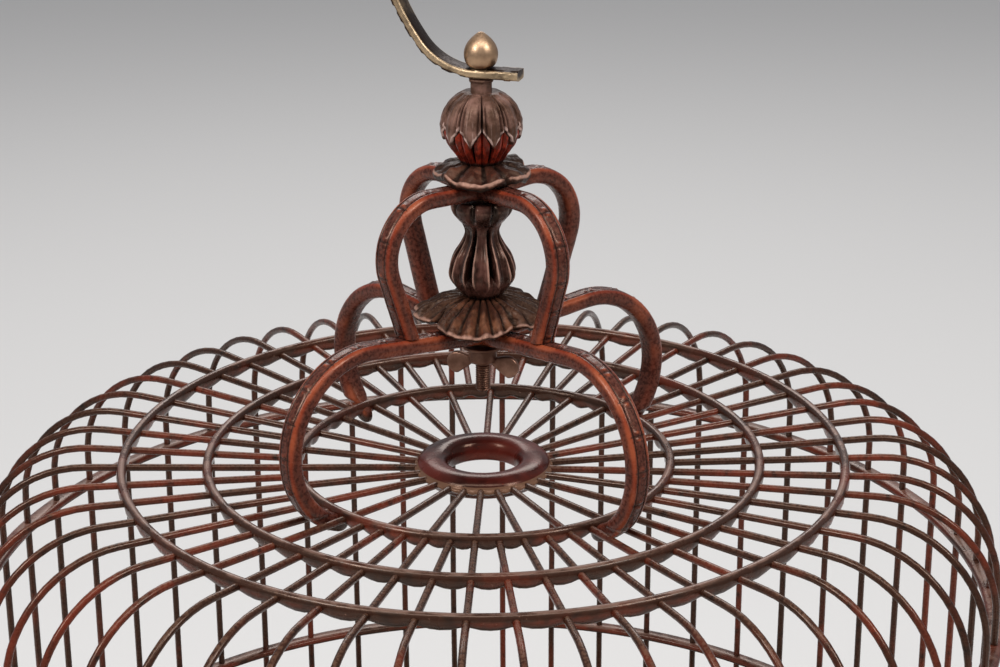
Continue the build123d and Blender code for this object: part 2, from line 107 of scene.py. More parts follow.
# Crown arms
arm_turn_shares = (0.1, 0.35, 0.61, 0.86)
arm_thickness = 0.0058
arm_width = 0.0076
arm_sides = 72
arm_cut = 0.0004
joint_spacing = 0.0105
joint_swell_length = 0.0016
joint_seam_length = 0.0004
bead_offset = 0.0011
bead_length = 0.0006
arm_joint_rise = 0.0007
claw_width = 0.0046
claw_tip_inward = 0.003
claw_tip_drop = 0.0062
lower_hub_height = 0.0426
lower_bow_radius = 0.0285
front_lower_bow_outward = 0.0186
back_lower_bow_outward = 0.01
upper_hub_height = 0.0924
upper_bow_top = 0.094
upper_bow_radius = 0.017
front_upper_bow_reach = 0.0404
front_upper_foot_radius = 0.0306
back_upper_bow_reach = 0.0356
back_upper_foot_radius = 0.0246

# Leaves
leaf_throat_radius = 0.0048
leaf_sides = 240
leaf_rings = 22
leaf_lobe_turn = 12.0
leaf_lobe_dip = 0.0015
leaf_vein_depth = 0.0006
leaf_pleat_lift = 0.034
lower_leaf_sizes = {
    "rise": 0.057, "radius": 0.0208, "droop": 0.0058, "edge": 0.0014, "boss_radius": 0.005,
    "lobe_share": 0.13, "pleats": 24, "pleat_share": 0.035,
}
upper_leaf_sizes = {
    "rise": 0.102, "radius": 0.0149, "droop": 0.002, "edge": 0.0024, "boss_radius": 0.006,
    "lobe_share": 0.03, "pleats": 10, "pleat_share": 0.026,
}

# Baluster and bud
baluster_radius = 0.0112
baluster_petals = 8
baluster_petal_sides = 32
baluster_cuts = 110
sepal_top = 0.26
bud_radius = 0.0132
bud_top = 0.1248
bud_petals = 10
bud_petal_sides = 30
bud_cuts = 120
bud_neck_radius = 0.0039
bud_neck_sides = 6

# Tie rod, washer and nuts
rod_radius = 0.0025
rod_sides = 28
thread_pitch = 0.0008
thread_turns = 17
wing_hub_radius = 0.005
wing_hub_height = 0.005
wing_hub_sides = 32
wing_reach = 0.012
wing_thickness = 0.0022
wing_sides = 40
acorn_nut_sides = 64
washer_sides = 48

# Hook
hook_azimuth = 161.0
hook_width = 0.008
hook_thickness = 0.0032
hook_sides = 40
hook_cuts = 360
hook_pad_radius = 0.0039
hook_pad_sides = 48
hook_tail = 0.013
hook_straight = 0.002
hook_heel_radius = 0.022
hook_heel_turn = 54.0
hook_rise_radius = 0.075
hook_rise_turn = 26.0
hook_bow_turn = 190.0
hook_tip_radius = 0.014
hook_tip_turn = 70.0
hook_notch_spacing = 0.0055
hook_pits_per_metre = 700
hammer_blows_per_metre = 420
hook_dark_start = 0.012
hook_dark_end = 0.04

# Heights read from the frame, and where the roof's straight run meets the shoulder's bend
roof_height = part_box("long_bars")[1].z - bar_radius
bend_centre_radius = wall_radius - shoulder_bend
bend_centre_height = roof_height - shoulder_bend
slope_rise = math.tan(math.radians(roof_slope))
roof_edge_radius = bend_centre_radius - shoulder_bend * math.sin(math.radians(roof_slope))
roof_edge_height = bend_centre_height + shoulder_bend * math.cos(math.radians(roof_slope))
base_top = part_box("base_ring")[1].z
crown_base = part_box("inner_roof_hoop")[1].z
hook_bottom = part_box("hook")[0].z

# One call of the mesh tools makes no more cuts than this
most_cuts = 100

chance = random.Random(7)


# Working with the mesh tools


def deselect():
    """Leave object mode clean, with nothing selected."""
    if bpy.context.object and bpy.context.object.mode != "OBJECT":
        bpy.ops.object.mode_set(mode="OBJECT")
    bpy.ops.object.select_all(action="DESELECT")


def linked(thing):
    """Put a new thing into the scene."""
    bpy.context.scene.collection.objects.link(thing)
    return thing


def only(piece):
    """Select one piece and nothing else."""
    deselect()
    piece.select_set(True)
    bpy.context.view_layer.objects.active = piece


def edit_all(piece):
    """Edit mode with the whole piece selected."""
    only(piece)
    bpy.ops.object.mode_set(mode="EDIT")
    bpy.ops.mesh.select_all(action="SELECT")


def leave_edit():
    bpy.ops.object.mode_set(mode="OBJECT")
    return bpy.context.object


def place(piece):
    """Put a piece's place and turn into its mesh."""
    only(piece)
    bpy.ops.object.transform_apply(location=True, rotation=True, scale=True)
    return piece


def circle(sides, radius, location=(0, 0, 0), rotation=(0, 0, 0)):
    """An open circle, in edit mode with its edges selected."""
    deselect()
    bpy.ops.mesh.primitive_circle_add(vertices=sides, radius=radius, location=location, rotation=rotation)
    edit_all(place(bpy.context.object))
    return bpy.context.object


def pull(x=0.0, y=0.0, z=0.0):
    """Extrude what is selected and move it."""
    bpy.ops.mesh.extrude_region_move(TRANSFORM_OT_translate={"value": (x, y, z)})


def close_ends(piece):
    """Fill the open ends and turn every face outwards."""
    edit_all(piece)
    bpy.ops.mesh.remove_doubles(threshold=0.000001)
    bpy.ops.mesh.select_all(action="DESELECT")
    bpy.ops.mesh.select_non_manifold(
        extend=False, use_wire=False, use_boundary=True,
        use_multi_face=False, use_non_contiguous=False, use_verts=False,
    )
    bpy.ops.mesh.fill_holes(sides=0)
    bpy.ops.mesh.select_all(action="SELECT")
    bpy.ops.mesh.normals_make_consistent(inside=False)
    return leave_edit()


def carved(piece, layers, rule):
    """Move each vertex to where a rule puts it, and store the numbers that the rule gives with the place."""
    for layer in layers:
        piece.data.attributes.new(layer, "FLOAT", "POINT")
    stores = [piece.data.attributes[layer].data for layer in layers]
    for index, vertex in enumerate(piece.data.vertices):
        spot, *numbers = rule(vertex.co.copy())
        vertex.co = spot
        for store, number in zip(stores, numbers):
            store[index].value = number
    piece.data.update()
    return piece


def reshape(piece, rule):
    """Move each vertex to where a rule puts it."""
    return carved(piece, (), lambda point: (rule(point),))


def tone(piece, layer, rule):
    """Store a number on each vertex for the material to read."""
    return carved(piece, (layer,), lambda point: (point, rule(point)))


def modify(piece, kind, **settings):
    """Add a modifier, set it and apply it."""
    only(piece)
    modifier = piece.modifiers.new(kind.lower(), kind)
    for key, value in settings.items():
        setattr(modifier, key, value)
    bpy.ops.object.modifier_apply(modifier=modifier.name)
    return piece


def bevelled(piece, width, segments=2):
    return modify(piece, "BEVEL", width=width, segments=segments, limit_method="ANGLE")


def swung(piece, azimuth):
    """Turn a piece's mesh about the cage's axis."""
    piece.data.transform(Matrix.Rotation(math.radians(azimuth), 4, "Z"))
    return piece


def swung_copy(piece, azimuth):
    """A copy with its own mesh, turned about the cage's axis."""
    copy = piece.copy()
    copy.data = piece.data.copy()
    return swung(linked(copy), azimuth)


def joined(pieces):
    """Several pieces made one."""
    deselect()
    for piece in pieces:
        piece.select_set(True)
    bpy.context.view_layer.objects.active = pieces[0]
    bpy.ops.object.join()
    return bpy.context.object


def turned_solid(levels, sides, smoothing=0):
    """A solid drawn up from a circle through levels of height and radius."""
    height, radius = levels[0]
    piece = circle(sides, radius, location=(0, 0, height))
    for next_height, next_radius in levels[1:]:
        pull(z=next_height - height)
        share = next_radius / radius
        bpy.ops.transform.resize(value=(share, share, 1), center_override=(0, 0, next_height))
        height, radius = next_height, next_radius
    leave_edit()
    close_ends(piece)
    if smoothing:
        modify(piece, "SUBSURF", levels=smoothing, render_levels=smoothing)
    return piece


def turned_ring(profile, sides, smoothing=0):
    """A ring drawn round a closed profile of heights and radii."""
    return turned_solid([*profile, profile[0]], sides, smoothing)


def block(low, high):
    """A box between two corners."""
    deselect()
    middle = (Vector(low) + Vector(high)) / 2
    bpy.ops.mesh.primitive_cube_add(size=1, location=middle, scale=Vector(high) - Vector(low))
    return place(bpy.context.object)


def straight_tube(sides, radius, length, cut):
    """A closed tube along X, cut into short even lengths; very many of them take two goes."""
    piece = circle(sides, radius, rotation=(0, math.pi / 2, 0))
    pull(x=length)
    leave_edit()
    parts = round(length / cut)
    goes = (parts,) if parts <= most_cuts else (math.ceil(parts / 4), 4)
    for part_count in goes:
        edit_all(piece)
        mesh = bmesh.from_edit_mesh(piece.data)
        bpy.ops.mesh.select_all(action="DESELECT")
        bpy.ops.mesh.select_mode(type="EDGE")
        for edge in mesh.edges:
            start, end = edge.verts
            if abs(start.co.x - end.co.x) > 0.9 * edge.calc_length():
                edge.select_set(True)
        bmesh.update_edit_mesh(piece.data)
        bpy.ops.mesh.subdivide(number_cuts=part_count - 1)
        bpy.ops.mesh.select_mode(type="VERT")
        leave_edit()
    return close_ends(piece)


def bent_along(piece, points):
    """Bend a straight piece along a line of points."""
    curve = bpy.data.curves.new("bending_line", "CURVE")
    curve.dimensions = "3D"
    curve.twist_mode = "MINIMUM"
    line = curve.splines.new("POLY")
    line.points.add(len(points) - 1)
    for point, corner in zip(line.points, points):
        point.co = (*corner, 1.0)
    guide = linked(bpy.data.objects.new("bending_line", curve))
    modify(piece, "CURVE", object=guide, deform_axis="POS_X")
    bpy.data.objects.remove(guide)
    return piece


def halved(piece, point, away):
    """Cut a piece with a plane and take away the side that a direction points to."""
    edit_all(piece)
    bpy.ops.mesh.bisect(plane_co=point, plane_no=away, use_fill=True, clear_outer=True)
    return leave_edit()


def finished(piece, node, ending, material, body="root", angle=40.0):
    """Name a piece, finish it, and hand it to the frame in place of its node."""
    only(piece)
    bpy.ops.object.shade_smooth_by_angle(angle=math.radians(angle))
    piece.name = f"{node}_{ending}"
    piece.data.name = piece.name
    piece.data.materials.clear()
    piece.data.materials.append(material)
    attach(piece, body)
    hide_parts(node)


# Smooth steps between numbers


def bump(value, middle, width):
    """1 at the middle, falling to nothing on both sides of it."""
    return math.exp(-(((value - middle) / width) ** 2))


def ramp(value, low, high):
    """0 below a low value and 1 above a high one, smooth between them."""
    part = min(1.0, max(0.0, (value - low) / (high - low)))
    return part * part * (3 - 2 * part)


def squared(value, power):
    """A share of a round section, moved out towards a square one."""
    return math.copysign(abs(value) ** power, value)


def blend(points, share):
    """A value read off a smooth line through (share, value) points."""
    share = min(points[-1][0], max(points[0][0], share))
    index = next(spot for spot in range(len(points) - 1) if share <= points[spot + 1][0])
    (start, low), (end, high) = points[index], points[index + 1]
    before = points[max(0, index - 1)]
    after = points[min(len(points) - 1, index + 2)]
    part = (share - start) / (end - start)
    leave = (high - before[1]) / (end - before[0]) * (end - start)
    arrive = (after[1] - low) / (after[0] - start) * (end - start)
    rest = 1.0 - part
    value = low * (1 + 2 * part) * rest**2 + high * part**2 * (1 + 2 * rest)
    return value + leave * part * rest**2 - arrive * part**2 * rest


# Places about the cage's axis, and lines in the plane that stands on it


def from_axis(point):
    return math.hypot(point.x, point.y)


def angle_of(point):
    return math.atan2(point.y, point.x)


def bar_turn(point):
    """How many bars on from the front a place lies."""
    return (math.degrees(angle_of(point)) - front_azimuth) / bar_pitch


def direction(azimuth, elevation):
    turn = math.radians(azimuth)
    rise = math.radians(elevation)
    return Vector((math.cos(rise) * math.cos(turn), math.cos(rise) * math.sin(turn), math.sin(rise)))


def roof_at(radius):
    """Height of the bars on the roof, which dips towards the hub."""
    return roof_edge_height - (roof_edge_radius - radius) * slope_rise


def polar(centre, radius, angle):
    turn = math.radians(angle)
    return (centre[0] + radius * math.cos(turn), centre[1] + radius * math.sin(turn))


def arc(centre, radius, start, turn, steps):
    """Points along an arc, from just after its start to its end."""
    return [polar(centre, radius, start + turn * step / steps) for step in range(1, steps + 1)]


def straight(start, end, steps):
    """Points along a straight run, with both its ends."""
    return [
        (start[0] + (end[0] - start[0]) * step / steps, start[1] + (end[1] - start[1]) * step / steps)
        for step in range(steps + 1)
    ]


def touching(point, centre, radius):
    """Heading of the line from a point that passes over a circle and touches it."""
    across = centre[0] - point[0]
    up = centre[1] - point[1]
    return math.degrees(math.atan2(up, across) + math.asin(radius / math.hypot(across, up)))


def upright(points):
    """Points of the upright plane as places in the frame."""
    return [Vector((across, 0, up)) for across, up in points]


def length_of(points):
    return sum((b - a).length for a, b in zip(points, points[1:]))


# Colours
black_lacquer = (0.006, 0.0035, 0.003)
brown_lacquer = (0.032, 0.0115, 0.0065)
red_tint = (0.13, 0.02, 0.009)
bright_red = (0.3, 0.03, 0.012)
orange_wear = (0.29, 0.064, 0.026)
# Pink of worn lacquer, also laid as a painted highlight on the baluster's petals
pink_wear_and_highlight = (0.42, 0.23, 0.17)
gold_wear = (0.21, 0.082, 0.042)
# Grey of dust, also laid as a painted highlight on bar tops and on the hub's flange
grey_dust_and_highlight = (0.15, 0.075, 0.045)
# Pale of dust, also laid on hoop tops as a painted highlight
pale_dust_and_highlight = (0.25, 0.145, 0.11)
warm_sheen = (1.0, 0.6, 0.4)
plain_sheen = (1.0, 1.0, 1.0)
hub_brown = (0.022, 0.005, 0.004)
hub_red = (0.09, 0.011, 0.007)
arm_dark = (0.04, 0.01, 0.007)
arm_brown = (0.125, 0.034, 0.022)
arm_red = (0.2, 0.026, 0.01)
lower_leaf_brown = (0.05, 0.017, 0.01)
upper_leaf_brown = (0.042, 0.014, 0.009)
upper_leaf_wear = (0.12, 0.048, 0.03)
petal_black = (0.02, 0.007, 0.005)
petal_brown = (0.12, 0.048, 0.036)
bud_brown = (0.055, 0.026, 0.017)
bud_grey = (0.2, 0.105, 0.08)
bud_dark_red = (0.07, 0.006, 0.004)
bud_red = (0.3, 0.024, 0.009)
bud_edge_wear = (0.5, 0.34, 0.29)
bamboo_brown = (0.26, 0.15, 0.065)
bamboo_straw = (0.44, 0.29, 0.14)
bamboo_stain = (0.18, 0.085, 0.035)
perch_brown = (0.16, 0.075, 0.035)
perch_straw = (0.3, 0.17, 0.085)
perch_stain = (0.09, 0.04, 0.02)
rod_tarnish = (0.14, 0.065, 0.042)
rod_bare = (0.46, 0.26, 0.18)
nut_tarnish = (0.15, 0.075, 0.042)
nut_bare = (0.44, 0.28, 0.17)
hook_tarnish = (0.03, 0.014, 0.008)
hook_bare = (0.5, 0.36, 0.22)
floor_grey = (0.74, 0.72, 0.7)
floor_white = (0.78, 0.765, 0.745)
sky = (0.93, 0.95, 1.0)


# Materials

grain_roughness = 0.55
coat_roughness = 0.18


class Recipe:
    """A material being put together from procedural nodes on Object coordinates."""

    def __init__(self, name):
        self.material = bpy.data.materials.new(name)
        self.material.use_nodes = True
        self.nodes = self.material.node_tree.nodes
        self.shader = self.nodes["Principled BSDF"]
        self.place = self.nodes.new("ShaderNodeTexCoord").outputs["Object"]

    def put(self, value, socket):
        """Set a socket to a number or a colour, or link it to what gives one."""
        if isinstance(value, tuple):
            socket.default_value = (*value, 1.0)
        elif isinstance(value, float):
            socket.default_value = value
        else:
            self.material.node_tree.links.new(value, socket)

    def grain(self, scale, detail, stretch=None):
        """Noise from 0 to 1, stretched along an axis where that is given."""
        node = self.nodes.new("ShaderNodeTexNoise")
        for key, number in (("Scale", scale), ("Detail", detail), ("Roughness", grain_roughness)):
            node.inputs[key].default_value = number
        source = self.place
        if stretch:
            mapping = self.nodes.new("ShaderNodeMapping")
            mapping.inputs["Scale"].default_value = stretch
            self.put(source, mapping.inputs["Vector"])
            source = mapping.outputs["Vector"]
        self.put(source, node.inputs["Vector"])
        return node.outputs["Fac"]

    def stored(self, layer):
        """A number that was stored on the mesh."""
        node = self.nodes.new("ShaderNodeAttribute")
        node.attribute_name = layer
        return node.outputs["Fac"]

    def upwards(self):
        """How far the surface faces up."""
        split = self.nodes.new("ShaderNodeSeparateXYZ")
        self.put(self.nodes.new("ShaderNodeTexCoord").outputs["Normal"], split.inputs[0])
        return split.outputs["Z"]

    def sums(self, operation, first, second):
        node = self.nodes.new("ShaderNodeMath")
        node.operation = operation
        self.put(first, node.inputs[0])
        self.put(second, node.inputs[1])
        return node.outputs[0]

    def plus(self, first, second, share=1.0):
        """Two numbers added up, the second of them multiplied by a share first."""
        if share != 1.0:
            second = self.sums("MULTIPLY", second, share)
        return self.sums("ADD", first, second)

    def between(self, value, low, high, start=0.0, end=1.0):
        """A value's run from low to high, stretched to run from start to end."""
        node = self.nodes.new("ShaderNodeMapRange")
        node.interpolation_type = "SMOOTHSTEP"
        self.put(value, node.inputs["Value"])
        for key, number in (("From Min", low), ("From Max", high), ("To Min", start), ("To Max", end)):
            node.inputs[key].default_value = number
        return node.outputs["Result"]

    def mixed(self, share, first, second):
        """One colour laid over another by a share."""
        node = self.nodes.new("ShaderNodeMix")
        node.data_type = "RGBA"
        for value, socket in ((share, 0), (first, 6), (second, 7)):
            self.put(value, node.inputs[socket])
        return node.outputs[2]

    def over(self, colour, top, value, low, high, most=1.0):
        """A colour laid over another where a value runs from low to high."""
        return self.mixed(self.between(value, low, high, 0.0, most), colour, top)

    def bump(self, height, strength, depth):
        node = self.nodes.new("ShaderNodeBump")
        node.inputs["Strength"].default_value = strength
        node.inputs["Distance"].default_value = depth
        self.put(height, node.inputs["Height"])
        self.put(node.outputs["Normal"], self.shader.inputs["Normal"])

    def surface(self, colour, roughness, metallic=0.0, coat=0.0, specular=0.5, sheen=plain_sheen):
        settings = {
            "Base Color": colour, "Roughness": roughness, "Metallic": metallic, "Coat Weight": coat,
            "Coat Roughness": coat_roughness, "Specular IOR Level": specular, "Specular Tint": sheen,
        }
        for key, value in settings.items():
            self.put(value, self.shader.inputs[key])
        return self.material


def bar_lacquer():
    """Dark lacquer on thin bars: red where it is thin, duller where dust and rubbing grey it, greyer on top
    with a painted highlight.
    """
    mat = Recipe("bar_lacquer")
    patches = mat.grain(38.0, 3.0)
    specks = mat.grain(900.0, 2.0)
    fibres = mat.grain(260.0, 3.0)
    colour = mat.over(brown_lacquer, red_tint, mat.plus(patches, mat.stored("own_tone"), 0.22), 0.54, 0.84)
    colour = mat.over(colour, black_lacquer, fibres, 0.5, 0.78)
    # Painted highlight: grey laid on upward faces stands partly for dust and partly for the sheen of light
    # from above.
    dust_and_highlight = mat.sums("MULTIPLY", specks, mat.between(mat.upwards(), 0.2, 1.0))
    colour = mat.over(colour, grey_dust_and_highlight, dust_and_highlight, 0.3, 0.62, 0.5)
    mat.bump(mat.plus(fibres, specks), 0.25, 0.0003)
    shine = mat.between(specks, 0.3, 0.8, 0.22, 0.42)
    return mat.surface(colour, shine, coat=0.2, specular=0.36, sheen=warm_sheen)


def hoop_lacquer():
    """Glossy dark lacquer with red edges, worn tops paled by dust and a painted highlight, and painted shade
    on the undersides.
    """
    mat = Recipe("hoop_lacquer")
    patches = mat.grain(30.0, 4.0)
    specks = mat.grain(700.0, 3.0)
    cloud = mat.grain(140.0, 5.0)
    colour = mat.over(brown_lacquer, red_tint, mat.plus(patches, mat.stored("edge"), 0.18), 0.5, 0.8)
    colour = mat.over(colour, black_lacquer, cloud, 0.5, 0.72, 0.8)
    # Painted shade: faces that turn downwards darken towards black.
    colour = mat.mixed(mat.between(mat.upwards(), -0.6, 0.1, 0.85, 0.0), colour, black_lacquer)
    # Painted highlight: upward faces pale, partly with dust and partly as the sheen of light from above.
    dust_and_highlight = mat.sums("MULTIPLY", cloud, mat.between(mat.upwards(), 0.3, 1.0))
    colour = mat.over(colour, pale_dust_and_highlight, dust_and_highlight, 0.32, 0.6, 0.6)
    colour = mat.over(colour, pink_wear_and_highlight, specks, 0.68, 0.78, 0.5)
    mat.bump(mat.plus(specks, cloud), 0.3, 0.0004)
    shine = mat.between(cloud, 0.3, 0.7, 0.2, 0.38)
    return mat.surface(colour, shine, coat=0.25, specular=0.4, sheen=warm_sheen)


def hub_lacquer():
    """Deep red gloss on the hub's top, darker in its side, with a flange greyed by dust and by a painted
    highlight.
    """
    mat = Recipe("hub_lacquer")
    patches = mat.grain(60.0, 3.0)
    specks = mat.grain(900.0, 3.0)
    colour = mat.over(hub_brown, hub_red, patches, 0.35, 0.65)
    # Painted highlight: the flange's outer band goes grey, partly dust and partly the shine of light on it.
    colour = mat.over(colour, grey_dust_and_highlight, mat.plus(mat.stored("edge"), patches), 0.95, 1.35)
    colour = mat.over(colour, bright_red, specks, 0.66, 0.78, 0.5)
    mat.bump(specks, 0.15, 0.0003)
    shine = mat.between(patches, 0.3, 0.7, 0.16, 0.3)
    return mat.surface(colour, shine, coat=0.1, specular=0.3, sheen=warm_sheen)


def carved_arm_wood():
    """Carved red-brown wood: orange where borders and inside are rubbed, with painted shade in its grooves
    and dark joint seams.
    """
    mat = Recipe("carved_arm_wood")
    patches = mat.grain(75.0, 1.5)
    fibres = mat.grain(900.0, 4.0)
    specks = mat.grain(2200.0, 2.0)
    colour = mat.over(arm_dark, arm_brown, fibres, 0.34, 0.7)
    worn = mat.over(arm_red, orange_wear, patches, 0.4, 0.66)
    colour = mat.over(colour, worn, mat.plus(patches, mat.stored("rubbed"), 0.7), 0.72, 1.26)
    colour = mat.over(colour, pink_wear_and_highlight, specks, 0.64, 0.76, 0.35)
    # Painted shade: black where the stored hollow marks lie, in grooves, carved lines and under the claws;
    # joint seams are dark joints.
    colour = mat.over(colour, black_lacquer, mat.plus(mat.stored("hollow"), fibres, 0.3), 0.4, 1.0, 0.95)
    mat.bump(mat.plus(fibres, specks, 0.4), 0.3, 0.0003)
    shine = mat.between(fibres, 0.3, 0.75, 0.22, 0.4)
    return mat.surface(colour, shine, coat=0.12, specular=0.36, sheen=warm_sheen)


def leaf_wood(name, body, light):
    """Rubbed leaf carving: painted shade in its folds, under its rim and on its side lobes, mottled on its
    back, pale at its rim.
    """
    mat = Recipe(name)
    patches = mat.grain(150.0, 4.0)
    fibres = mat.grain(600.0, 4.0)
    colour = mat.over(body, light, patches, 0.44, 0.66)
    colour = mat.over(colour, red_tint, fibres, 0.56, 0.72, 0.5)
    # Painted shade: black where the stored hollow marks lie.
    colour = mat.over(colour, black_lacquer, mat.plus(mat.stored("hollow"), patches, 0.4), 0.45, 1.05, 0.96)
    colour = mat.over(colour, pink_wear_and_highlight, mat.plus(mat.stored("rim"), fibres, 0.8), 0.95, 1.6)
    mat.bump(mat.plus(fibres, patches, 2.0), 0.5, 0.0008)
    shine = mat.between(fibres, 0.3, 0.75, 0.34, 0.56)
    return mat.surface(colour, shine, coat=0.04, specular=0.32, sheen=warm_sheen)


def baluster_wood():
    """Near-black carving, pink on the petals' edges and faces with wear and a painted highlight, and painted
    shade in its gaps.
    """
    mat = Recipe("baluster_wood")
    patches = mat.grain(160.0, 4.0)
    fibres = mat.grain(700.0, 4.0, stretch=(1.0, 1.0, 0.35))
    colour = mat.over(petal_black, petal_brown, patches, 0.42, 0.68)
    # Pink with wear and a painted highlight where the rim marks lie.
    colour = mat.over(colour, pink_wear_and_highlight, mat.plus(mat.stored("rim"), fibres, 0.8), 0.75, 1.4)
    # Painted shade: black where the stored hollow marks lie.
    colour = mat.over(colour, black_lacquer, mat.plus(mat.stored("hollow"), fibres, 0.35), 0.35, 0.85, 0.97)
    mat.bump(fibres, 0.4, 0.0004)
    shine = mat.between(fibres, 0.3, 0.75, 0.2, 0.4)
    return mat.surface(colour, shine, coat=0.16, specular=0.36, sheen=warm_sheen)


def bud_wood():
    """Grey-brown hanging petals with pale edges over red ones, with painted shade in their creases and gaps.
    """
    mat = Recipe("bud_wood")
    patches = mat.grain(160.0, 4.0)
    fibres = mat.grain(700.0, 4.0, stretch=(1.0, 1.0, 0.35))
    colour = mat.over(bud_brown, bud_grey, patches, 0.4, 0.66)
    colour = mat.mixed(mat.stored("under"), colour, mat.over(bud_dark_red, bud_red, fibres, 0.38, 0.7))
    colour = mat.over(colour, bud_edge_wear, mat.plus(mat.stored("rim"), fibres, 0.8), 0.8, 1.35)
    # Painted shade: black where the stored hollow marks lie.
    colour = mat.over(colour, black_lacquer, mat.plus(mat.stored("hollow"), fibres, 0.35), 0.4, 0.9, 0.97)
    mat.bump(mat.plus(fibres, patches, 0.5), 0.5, 0.0005)
    shine = mat.between(fibres, 0.3, 0.75, 0.3, 0.52)
    return mat.surface(colour, shine, coat=0.04, specular=0.34, sheen=warm_sheen)


def bare_bamboo():
    """Oiled split bamboo with long fibres."""
    mat = Recipe("bare_bamboo")
    fibres = mat.grain(240.0, 4.0, stretch=(0.05, 1.0, 1.0))
    patches = mat.grain(18.0, 3.0)
    colour = mat.over(bamboo_brown, bamboo_straw, fibres, 0.35, 0.7)
    colour = mat.over(colour, bamboo_stain, patches, 0.5, 0.75, 0.6)
    mat.bump(fibres, 0.35, 0.0004)
    return mat.surface(colour, mat.between(fibres, 0.3, 0.7, 0.34, 0.55), coat=0.15)


def perch_wood():
    """A bare round stick, rubbed darker where feet grip it."""
    mat = Recipe("perch_wood")
    fibres = mat.grain(300.0, 5.0, stretch=(0.06, 1.0, 1.0))
    patches = mat.grain(26.0, 3.0)
    colour = mat.over(perch_brown, perch_straw, fibres, 0.35, 0.7)
    colour = mat.over(colour, perch_stain, patches, 0.45, 0.7, 0.7)
    mat.bump(fibres, 0.5, 0.0005)
    return mat.surface(colour, mat.between(fibres, 0.3, 0.7, 0.38, 0.6))


def brass(name, tarnish, bare, shine, fine, relief=0.3):
    """Old brass: bright where it is rubbed, brown where tarnish stays."""
    mat = Recipe(name)
    patches = mat.grain(90.0, 5.0)
    specks = mat.grain(fine, 3.0)
    rubbed = mat.sums("SUBTRACT", patches, mat.sums("MULTIPLY", mat.stored("hollow"), 0.45))
    colour = mat.over(tarnish, bare, rubbed, 0.2, 0.55)
    mat.bump(mat.plus(specks, patches, 0.5), relief, 0.0003)
    return mat.surface(colour, mat.between(specks, 0.3, 0.75, shine, shine + 0.2), metallic=0.92)


lacquer_on_bars = bar_lacquer()
lacquer_on_hoops = hoop_lacquer()
arm_wood = carved_arm_wood()
bamboo = bare_bamboo()
rod_metal = brass("rod_brass", rod_tarnish, rod_bare, 0.34, 1500.0)


# Bars


def bar_shape(inner_end, foot):
    """One bar: up the wall from its foot, over the shoulder, and in along the roof."""
    piece = circle(bar_sides, bar_radius, location=(wall_radius, 0, foot))
    for _ in range(wall_cuts):
        pull(z=(bend_centre_height - foot) / wall_cuts)
    bpy.ops.mesh.spin(
        steps=bend_cuts,
        angle=math.radians(90.0 + roof_slope),
        center=(bend_centre_radius, 0, bend_centre_height),
        axis=(0, 1, 0),
    )
    inward = roof_edge_radius - inner_end
    for _ in range(roof_cuts):
        pull(x=-inward / roof_cuts, z=-inward * slope_rise / roof_cuts)
    leave_edit()
    return close_ends(piece)


def own_bar(bar, azimuth):
    """A bar turned to its place, with its own slight sway and tone."""
    seed = chance.uniform(0, 100)
    redness = chance.random()

    def sway(point):
        free = min(1.0, abs(point.z - base_top) / shoulder_bend)
        point.y += bar_sway * free * noise.noise(Vector((point.x, point.z, seed)) * 12.0)
        return point, redness

    return swung(carved(swung_copy(bar, 0.0), ("own_tone",), sway), azimuth)


def bars(node, inner_end, first):
    """Every second bar; those over the door stop in the lower wall hoop."""
    whole = bar_shape(inner_end, base_top - bar_socket)
    cut_short = bar_shape(inner_end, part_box("lower_wall_hoop")[0].z)
    copies = []
    for index in range(first, bar_count, 2):
        offset = (index - 0.5) * bar_pitch
        from_front = min(offset % 360.0, -offset % 360.0)
        chosen = cut_short if from_front < door_gap_bars * bar_pitch / 2 else whole
        copies.append(own_bar(chosen, front_azimuth + offset))
    bpy.data.objects.remove(whole)
    bpy.data.objects.remove(cut_short)
    finished(joined(copies), node, "split", lacquer_on_bars)


# Hoops and hub


def hoop(node, radius, section, cuts, sides, shape, rubbed):
    """A hoop with a section drawn from a round one by a rule, and a tone from how far out and up it is."""
    low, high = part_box(node)
    middle = (low.z + high.z) / 2
    deselect()
    bpy.ops.mesh.primitive_torus_add(
        major_radius=radius, minor_radius=section,
        major_segments=bar_count * cuts, minor_segments=sides, location=(0, 0, middle),
    )
    piece = place(bpy.context.object)

    def strip(point):
        flat = from_axis(point)
        out, up = shape(point, (flat - radius) / section, (point.z - middle) / section)
        reach = radius + out * section
        return Vector((point.x * reach / flat, point.y * reach / flat, middle + up * section))

    reshape(piece, strip)
    tone(piece, "edge", lambda point: rubbed((from_axis(point) - radius) / section, point.z - middle))
    finished(piece, node, "strip", lacquer_on_hoops)


def roof_hoop(node, radius):
    """A strip on edge: a smooth rounded top, and a lower half scooped out between the bars."""

    def scooped(point, out, up):
        out = squared(out, 0.8) * roof_hoop_width / roof_hoop_height
        if up < 0:
            near = abs(math.sin(math.pi * bar_turn(point)))
            up *= 1.0 - 0.4 * near**3
            out *= 1.0 - 0.3 * near**4
        return out, up

    def rubbed(out, up):
        return 1.0 if up < 0 else 0.2

    hoop(node, radius, roof_hoop_height / 2, roof_hoop_cuts, roof_hoop_sides, scooped, rubbed)


def wall_hoop(node):
    """A strip that lies flat, softly rounded, which the bars pass down through."""

    def flattened(point, out, up):
        return squared(out, 0.75), squared(up, 0.75) * wall_hoop_height / wall_hoop_width

    def rubbed(out, up):
        return min(1.0, abs(out))

    hoop(node, wall_radius, wall_hoop_width / 2, wall_hoop_cuts, wall_hoop_sides, flattened, rubbed)


